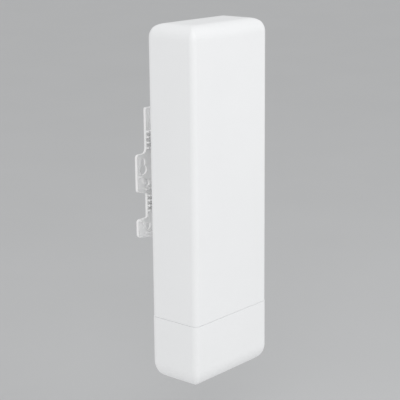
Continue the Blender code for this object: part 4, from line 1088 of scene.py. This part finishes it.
def makeVent():
    low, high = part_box("vent_plug")
    u, v = centreOf("vent_plug", "Z")
    cap = (high.x - low.x) / 2
    seat = low.z + vent["cap"]
    stem = vent["stem"]
    edge = vent["seatEdge"]
    start, crest, end = (seat + rise for rise in vent["snapRises"])
    profile = roundOver(low.z, -1, cap, vent["edge"], meshing["rimSteps"])[::-1]
    profile += [(seat - edge, cap), (seat, cap - edge), (seat, stem), (start, stem)]
    profile += [(crest, stem + vent["snapOut"]), (end, stem), (high.z, stem - vent["tipIn"])]
    near, far = vent["slotReach"]
    half = vent["slot"] / 2
    deep = vent["slotDeep"]
    front = low.z - beyond
    spans = ((u + near, u + far), (v - half, v + half))
    bar = rectangle(*spans, half * vent["slotRound"], meshing["cornerSteps"])
    cuts = [prism("Z", spun(bar, (u, v), turn), front, low.z + deep) for turn in around(vent["slots"])]
    cuts.append(rod("Z", (u, v), vent["hub"], front, low.z + deep / 2, meshing["pinSteps"]))
    make("ventPlug", "vent_plug", "dark_rubber", turned("Z", (u, v), profile), cuts=[together(cuts)])


def makeSeal():
    low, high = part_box("cable_grommet")
    edge = seal["edge"]
    hole = seal["hole"]
    neck = -seal["lip"] - seal["gap"]
    seat = high.z - seal["lipHigh"]
    levels = [(low.z, neck - edge), (low.z + edge, neck), (seat, neck)] + broken(seat, high.z, edge)
    mesh = slotForm(high.x - low.x, high.y - low.y, levels)
    profile = flared(low.z, edge, hole)
    pitch = (high.z - low.z - 2 * edge) / seal["ribs"]
    for number in range(seal["ribs"]):
        start, crest, end = (low.z + edge + pitch * (number + share) for share in seal["ribSpan"])
        profile += [(start, hole), (crest, hole - seal["rib"]), (end, hole)]
    profile += [(high.z - edge, hole), (high.z + edge, hole + 2 * edge)]
    cuts = [turned("Z", (x, midY), profile) for x in (-seal["holeX"], seal["holeX"])]
    make("cableSeal", "cable_grommet", "dark_rubber", mesh, cuts=cuts, body="cover")


makeButton()
makeVent()
makeSeal()
print("button, vent plug and cable seal made")


# Light guide and the frame seal behind the back panel

guide = {
    "edge": 0.0004, "corner": 0.0008, "bar": 0.002, "prong": 0.0013, "dome": 0.0006, "taper": 0.8,
    "overlap": 0.0004,
}
frameSeal = {"width": 0.0012, "corner": 0.003, "arcSteps": 6, "sides": 10, "squash": 0.8}


def makeGuide():
    low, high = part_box("light_pipe")
    back = low.y + guide["bar"]
    span = (back - guide["overlap"], high.y)
    prongs = [domed(spot, *span, guide["prong"], guide["dome"], guide["taper"]) for spot in lightSpots()]
    mesh = layers("Y", "light_pipe", guide["corner"], broken(low.y, back, guide["edge"]))
    make("lightGuide", "light_pipe", "clear_plastic", mesh, adds=[together(prongs)])


def squashed(share):  # draws a round section out toward a square
    return math.copysign(abs(share) ** frameSeal["squash"], share)


def makeFrameSeal():
    thick = (gasketHigh.y - gasketLow.y) / 2
    middleY = (gasketHigh.y + gasketLow.y) / 2
    rings = []
    for turn in around(frameSeal["sides"]):
        shrink = frameSeal["width"] / 2 * (1 - squashed(math.cos(turn)))
        level = middleY + thick * squashed(math.sin(turn))
        spanX = (gasketLow.x + shrink, gasketHigh.x - shrink)
        spanZ = (gasketLow.z + shrink, gasketHigh.z - shrink)
        outline = rectangle(spanX, spanZ, frameSeal["corner"] - shrink, frameSeal["arcSteps"])
        rings.append([(x, level, z) for x, z in outline])
    make("frameSeal", "rear_gasket", "dark_rubber", loft(rings, True))


makeGuide()
makeFrameSeal()
print("light guide and frame seal made")


# Pieces on the board: lids with dents, cross-cut heat sink, coil parts, cans, lights

lid = {
    "corner": 0.0012, "edge": 0.0006, "dent": 0.0009, "dentDeep": 0.0004, "dentPitch": 0.0052,
    "notch": (0.0022, 0.001), "notchDeep": 0.0005, "notches": 4,
}
sink = {
    "fins": 6, "base": 0.0015, "tip": 0.0004, "root": 0.0002, "arcSteps": 3, "cross": 0.002,
    "crossLift": 0.0003,
}
block = {
    "corner": 0.0005, "draft": 0.00035, "line": 0.45, "edge": 0.0003, "dot": 0.0007, "dotIn": 0.0018,
    "notch": 0.0009, "deep": 0.0004,
}
coil = {
    "corner": 0.0014, "edge": 0.0005, "flange": 0.0012, "waist": 0.0005, "dish": 0.0029,
    "dishDeep": 0.0004,
}
can = {
    "groove": 0.0004, "grooveAt": 0.0016, "grooveHigh": 0.0012, "edge": 0.0006, "rim": 0.0004,
    "dish": 0.0003, "score": 0.0004, "scoreDeep": 0.0006, "reach": 0.0026, "scores": 3,
}
chip = {"base": 0.45, "edge": 0.0002, "corner": 0.0002, "lens": 0.0007, "dome": 0.0006, "overlap": 0.0002}


def notchBoxes(low, high):  # small cuts along a lid's foot, on all four sides
    wide, tall = lid["notch"]
    deep = lid["notchDeep"]
    foot = (high.y - tall, high.y + beyond)
    cuts = []
    for number in range(lid["notches"]):
        share = (number + 0.5) / lid["notches"]
        x = low.x + (high.x - low.x) * share
        z = low.z + (high.z - low.z) * share
        for spanX in ((low.x - beyond, low.x + deep), (high.x - deep, high.x + beyond)):
            cuts.append(box(spanX, foot, (z - wide / 2, z + wide / 2)))
        for spanZ in ((low.z - beyond, low.z + deep), (high.z - deep, high.z + beyond)):
            cuts.append(box((x - wide / 2, x + wide / 2), foot, spanZ))
    return cuts


def makeLid(name, node, across, up):
    low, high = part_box(node)
    x, z = centreOf(node)
    span = (low.y - beyond, low.y + lid["dentDeep"])
    cuts = notchBoxes(low, high)
    for right in spread(across, lid["dentPitch"]):
        for rise in spread(up, lid["dentPitch"]):
            cuts.append(rod("Y", (x + right, z + rise), lid["dent"], *span, meshing["dotSteps"]))
    levels = roundOver(low.y, -1, 0.0, lid["edge"], meshing["edgeSteps"])[::-1] + [(high.y, 0.0)]
    make(name, node, "tinplate", layers("Y", node, lid["corner"], levels), cuts=[together(cuts)])


def makeSink():
    low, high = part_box("heat_sink")
    fin = (high.x - low.x) / (2 * sink["fins"] - 1)
    base = high.y - sink["base"]
    tip = sink["tip"]
    root = sink["root"]
    corners = [(low.x, high.y, root), (high.x, high.y, root)]
    for number in range(sink["fins"]):
        right = high.x - 2 * fin * number
        corners += [(right, low.y, tip), (right - fin, low.y, tip)]
        if number < sink["fins"] - 1:
            corners += [(right - fin, base, root), (right - 2 * fin, base, root)]
    half = sink["cross"] / 2
    z = centreOf("heat_sink")[1]
    spans =((low.x - beyond, high.x + beyond), (low.y - beyond, base - sink["crossLift"]))
    offsets = spread(2, (high.z - low.z) / 3)  # to a third and two thirds of the height
    cuts = [box(*spans, (z + at - half, z + at + half)) for at in offsets]
    mesh = prism("Z", rounded(corners, sink["arcSteps"]), low.z, high.z)
    make("heatSink", "heat_sink", "aluminium", mesh, cuts=[together(cuts)])


def makeTransformer(side):
    node = f"lan_transformer_{side}"
    low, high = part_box(node)
    draft = block["draft"]
    edge = block["edge"]
    line = low.y + (high.y - low.y) * block["line"]
    levels = [(low.y, -draft - edge), (low.y + edge, -draft), (line, 0.0), (high.y, -draft)]
    dot = (low.x + block["dotIn"], high.z - block["dotIn"])
    notch = (centreOf(node)[0], high.z - draft)
    span = (low.y - beyond, low.y + block["deep"])
    marks = ((dot, block["dot"]), (notch, block["notch"]))
    cuts = [rod("Y", spot, radius, *span, meshing["dotSteps"]) for spot, radius in marks]
    mesh = layers("Y", node, block["corner"], levels)
    make(f"lineTransformer{side.title()}", node, "black_plastic", mesh, cuts=[together(cuts)])


def makeCoil():
    node = "power_inductor"
    low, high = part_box(node)
    waist = coil["waist"]
    upper = low.y + coil["edge"] + coil["flange"]
    lower = high.y - coil["flange"]
    levels = roundOver(low.y, -1, 0.0, coil["edge"], meshing["edgeSteps"])[::-1]
    levels += [(upper, 0.0), (upper + waist, -waist), (lower - waist, -waist), (lower, 0.0), (high.y, 0.0)]
    dish = turned("Y", centreOf(node), flared(low.y, coil["dishDeep"], coil["dish"]))
    make("powerCoil", node, "grey_plastic", layers("Y", node, coil["corner"], levels), cuts=[dish])


def makeCan(side):
    node = f"bulk_capacitor_{side}"
    low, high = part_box(node)
    u, v = centreOf(node)
    radius = (high.x - low.x) / 2
    groove = can["groove"]
    foot = high.y - can["grooveAt"]
    inner = radius - can["edge"] - can["rim"]
    profile = [(high.y, radius - groove), (high.y - groove, radius), (foot, radius)]
    profile += [(foot - can["grooveHigh"] / 2, radius - groove), (foot - can["grooveHigh"], radius)]
    profile += roundOver(low.y, -1, radius, can["edge"], meshing["rimSteps"])
    profile += [(low.y, inner), (low.y + can["dish"], inner - can["dish"])]
    half = can["score"] / 2
    bar = rectangle((u - half / 2, u + can["reach"]), (v - half, v + half))
    scores = [spun(bar, (u, v), turn + math.pi / 2) for turn in around(can["scores"])]
    cuts = [prism("Y", score, low.y - beyond, low.y + can["scoreDeep"]) for score in scores]
    make(f"capacitor{side.title()}", node, "aluminium", turned("Y", (u, v), profile), cuts=cuts)


def makeChip(number):
    node = f"status_light_{number}"
    low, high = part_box(node)
    seat = low.y + (high.y - low.y) * chip["base"]
    levels = [(low.y, 0.0), (seat - chip["edge"], 0.0), (seat, -chip["edge"])]
    lens = domed(centreOf(node), seat - chip["overlap"], high.y, chip["lens"], chip["dome"])
    mesh = layers("Y", node, chip["corner"], levels)
    make(f"statusLight{number}", node, "clear_plastic", mesh, adds=[lens])


makeLid("radioLid", "radio_shield", 5, 3)  # dents across and up
makeLid("processorLid", "processor_shield", 0, 0)
makeSink()
makeCoil()
for side in bothSides:
    makeTransformer(side)
    makeCan(side)
for number in smallNumbers:
    makeChip(number)
print("parts on the board made: 12")


# Board, reflector, patches and what holds and joins them

sheets = {"boardCorner": 0.0015, "reflectorCorner": 0.002, "edge": 0.0002, "fit": 0.0002, "feedHole": 0.002}
post = {"sides": 6, "chamfer": 0.0004, "share": 0.93, "boreDeep": 0.006, "bore": 0.00145}
patch = {
    "corner": 0.006, "round": 0.0008, "edge": 0.0002, "thick": 0.0008, "feed": 0.0007, "feedRise": 0.010,
    "collar": 0.0016, "collarRise": 0.0007, "tip": 0.0002,
}
spacer = {"flange": 0.0012, "waist": 0.0006, "edge": 0.0003}
lead = {
    "steps": 48, "sides": 14, "radius": 0.0009, "jacket": 0.82, "collar": 0.07,
    "outEnd": 0.5, "runStart": 0.25,  # shares of its length: out from the board until, along it from
}
switch = {
    "corner": 0.0004, "edge": 0.0003, "cap": 0.0006, "wide": 0.0026, "plunger": (0.0002, 0.0024),
    "overlap": 0.0003,
}
feedWays = {"upper": 1, "lower": -1}  # which way each patch's lead runs


def feedSpot(name):
    return (centreOf(f"coax_lead_{name}")[0], centreOf(f"antenna_patch_{name}")[1] + patch["feedRise"])


def makeSheet(name, node, slot, screws, corner, feeds):
    low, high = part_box(node)
    span = (low.y - beyond, high.y + beyond)
    clearance = screwKinds["small"]["shank"] + sheets["fit"]
    holes = [(spot, clearance) for spot in spotsOf(screws, smallNumbers)]
    holes += [(feedSpot(feed), sheets["feedHole"]) for feed in feeds]
    cuts = [rod("Y", spot, radius, *span, meshing["holeSteps"]) for spot, radius in holes]
    mesh = layers("Y", node, corner, broken(low.y, high.y, sheets["edge"]))
    make(name, node, slot, mesh, cuts=[together(cuts)])


def makePost(side):
    node = f"reflector_standoff_{side}"
    low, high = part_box(node)
    centre = centreOf(node)
    radius = (high.x - low.x) / 2
    chamfer = post["chamfer"]
    small = radius * post["share"]
    levels = [(low.y, small), (low.y + chamfer, radius), (high.y - chamfer, radius), (high.y, small)]
    bore = flared(low.y, chamfer, post["bore"]) + [(low.y + post["boreDeep"], post["bore"])]
    cut = turned("Y", centre, bore, meshing["holeSteps"])
    make(f"hexPost{side.title()}", node, "brass", turned("Y", centre, levels, post["sides"]), cuts=[cut])


def makePatch(name):
    node = f"antenna_patch_{name}"
    low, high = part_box(node)
    x, z = centreOf(node)
    half = (high.x - low.x) / 2
    cut = half - patch["corner"]
    spots = [(half, -half), (half, cut), (cut, half), (-half, half), (-half, -cut), (-cut, -half)]
    corners = [(x + u, z + v, patch["round"]) for u, v in spots]
    back = low.y + patch["thick"]
    levels = broken(low.y, back, patch["edge"])
    mesh = stack("Y", [(at, rounded(inset(corners, -grow), meshing["cornerSteps"])) for at, grow in levels])
    feed = patch["feed"]
    tip = patch["tip"]
    profile = [(back - patch["thick"] / 2, patch["collar"]), (back + tip, patch["collar"])]
    profile += [(back + patch["collarRise"], feed), (high.y - tip, feed), (high.y, feed - tip)]
    pin = turned("Y", feedSpot(name), profile, meshing["pinSteps"])
    make(f"patch{name.title()}", node, "aluminium", mesh, adds=[pin])


def makeSpacer(number):
    node = f"patch_spacer_{number}"
    low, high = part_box(node)
    radius = (high.x - low.x) / 2
    edge = spacer["edge"]
    waist = spacer["waist"]
    flange = spacer["flange"]
    half = [(0.0, radius - edge), (edge, radius), (flange, radius), (flange + waist, radius - waist)]
    profile = [(low.y + rise, at) for rise, at in half]
    profile += [(high.y - rise, at) for rise, at in reversed(half)]
    make(f"patchSpacer{number}", node, "grey_plastic", turned("Y", centreOf(node), profile))


def eased(share):
    held = min(max(share, 0.0), 1.0)
    return held * held * (3 - 2 * held)


def makeLead(name, way):
    node = f"coax_lead_{name}"
    low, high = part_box(node)
    x = centreOf(node)[0]
    radius = lead["radius"]
    startZ, endZ = (low.z + radius, high.z) if way > 0 else (high.z - radius, low.z)
    path = []
    radii = []
    for step in range(lead["steps"] + 1):
        share = step / lead["steps"]
        out = eased(share / lead["outEnd"])
        run = eased((share - lead["runStart"]) / (1 - lead["runStart"]))
        path.append((x, high.y + (low.y + radius - high.y) * out, startZ + (endZ - startZ) * run))
        radii.append(radius if min(share, 1 - share) < lead["collar"] else radius * lead["jacket"])
    make(f"lead{name.title()}", node, "black_plastic", tube(path, radii, lead["sides"]))


def makeSwitch():
    low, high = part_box("reset_switch")
    seat = low.z + switch["cap"]
    half = switch["wide"] / 2
    near, far = switch["plunger"]
    outline = rectangle((-half, half), (low.y + near, low.y + far), switch["corner"], meshing["cornerSteps"])
    plunger = prism("Z", outline, low.z, seat + switch["overlap"])
    mesh = layers("Z", "reset_switch", switch["corner"], broken(seat, high.z, switch["edge"]))
    make("resetSwitch", "reset_switch", "black_plastic", mesh, adds=[plunger])


makeSheet("circuitBoard", "main_board", "circuit_board", "board_screw", sheets["boardCorner"], ())
makeSheet(
    "reflectorSheet", "reflector_plate", "aluminium", "reflector_screw", sheets["reflectorCorner"], feedWays
)
makeSwitch()
for side in bothSides:
    makePost(side)
for name, way in feedWays.items():
    makePatch(name)
    makeLead(name, way)
for number in smallNumbers:
    makeSpacer(number)
print("board, reflector, patches and leads made")


# Studio: pale floor, soft light, camera at the photograph's angle

studio = {
    "floorZ": -0.2165, "floorSize": 12.0, "floorTone": (194, 195, 196), "floorShade": (190, 191, 192),
    "bounce": (238, 238, 238),  # the floor's tone for the light it throws back, the other two are as seen
    "cloudScale": 6.0, "cloudDetail": 3.0, "roughness": 0.62, "roughCloud": 0.1,
}
light = {"world": 0.83, "backdrop": (178, 179, 180), "away": 0.9, "size": 0.65}
lamps = {  # degrees left of the front, degrees up, watts
    "keyLamp": (48.0, 38.0, 1.3),
    "fillLamp": (-14.0, 38.0, 1.15),
}
view = {
    "azimuth": -49.801, "elevation": 14.075, "roll": -0.465, "distance": 0.932336,
    "lens": 113.784, "sensor": 36.0, "shift": (-0.02337, 0.00175),
}
middle = Vector((0.0, midY, (topZ + bottomZ) / 2))


def shownTo(net):  # 1 for what the lens, metal and clear pieces see, 0 for light on its way
    rays = ("Is Camera Ray", "Is Glossy Ray", "Is Transmission Ray")
    lens, metal, glass = (net.node("ShaderNodeLightPath", {}, {}, ray) for ray in rays)
    return net.math("MAXIMUM", net.math("MAXIMUM", lens, metal), glass)


def makeFloor():
    half = studio["floorSize"] / 2
    shape = bmesh.new()
    corners = rectangle((-half, half), (-half, half))
    shape.faces.new([shape.verts.new((x, y, studio["floorZ"])) for x, y in corners])
    floor = newObject("floor", toMesh(shape))
    finish = Finish("paleFloor")
    cloud = finish.noise(finish.place(), studio["cloudScale"], studio["cloudDetail"])
    pale = finish.blend(cloud, rgb(*studio["floorShade"]), rgb(*studio["floorTone"]))
    finish.set(Base_Color=finish.blend(shownTo(finish), rgb(*studio["bounce"]), pale))
    finish.set(Roughness=studio["roughness"] + cloud * studio["roughCloud"])
    floor.data.materials.append(finish.material)


def makeWorld():
    world = bpy.data.worlds.new("studioWorld")
    bpy.context.scene.world = world
    world.use_nodes = True
    net = Net(world.node_tree)
    lit = (light["world"], light["world"], light["world"], 1.0)
    shader = world.node_tree.nodes["Background"]
    net.plug(shader.inputs["Color"], net.blend(shownTo(net), lit, rgb(*light["backdrop"])))


def toward(turn, rise):  # both in degrees, the turn counted from the front to the right
    turn, rise = math.radians(turn), math.radians(rise)
    return Vector((math.sin(turn) * math.cos(rise), -math.cos(turn) * math.cos(rise), math.sin(rise)))


def makeLamp(name, left, up, power):
    lamp = bpy.data.lights.new(name, "AREA")
    lamp.shape = "DISK"
    lamp.size = light["size"]
    lamp.energy = power
    holder = newObject(name, lamp)
    holder.location = middle + toward(-left, up) * light["away"]
    holder.rotation_euler = (middle - holder.location).to_track_quat("-Z", "Y").to_euler()


def makeCamera():
    turn = math.radians(view["azimuth"])
    roll = math.radians(view["roll"])
    back = toward(view["azimuth"], view["elevation"])
    right = Vector((math.cos(turn), math.sin(turn), 0.0))
    up = back.cross(right)
    across = right * math.cos(roll) + up * math.sin(roll)
    upward = up * math.cos(roll) - right * math.sin(roll)
    lens = bpy.data.cameras.new("camera")
    lens.lens = view["lens"]
    lens.sensor_width = view["sensor"]
    lens.shift_x, lens.shift_y = view["shift"]
    camera = newObject("camera", lens)
    facing = Matrix((across, upward, back)).transposed().to_4x4()
    camera.matrix_world = Matrix.Translation(middle + back * view["distance"]) @ facing
    bpy.context.scene.camera = camera


makeFloor()
makeWorld()
for name, (left, up, power) in lamps.items():
    makeLamp(name, left, up, power)
makeCamera()
bpy.context.scene.view_settings.view_transform = "Standard"
print("studio made")
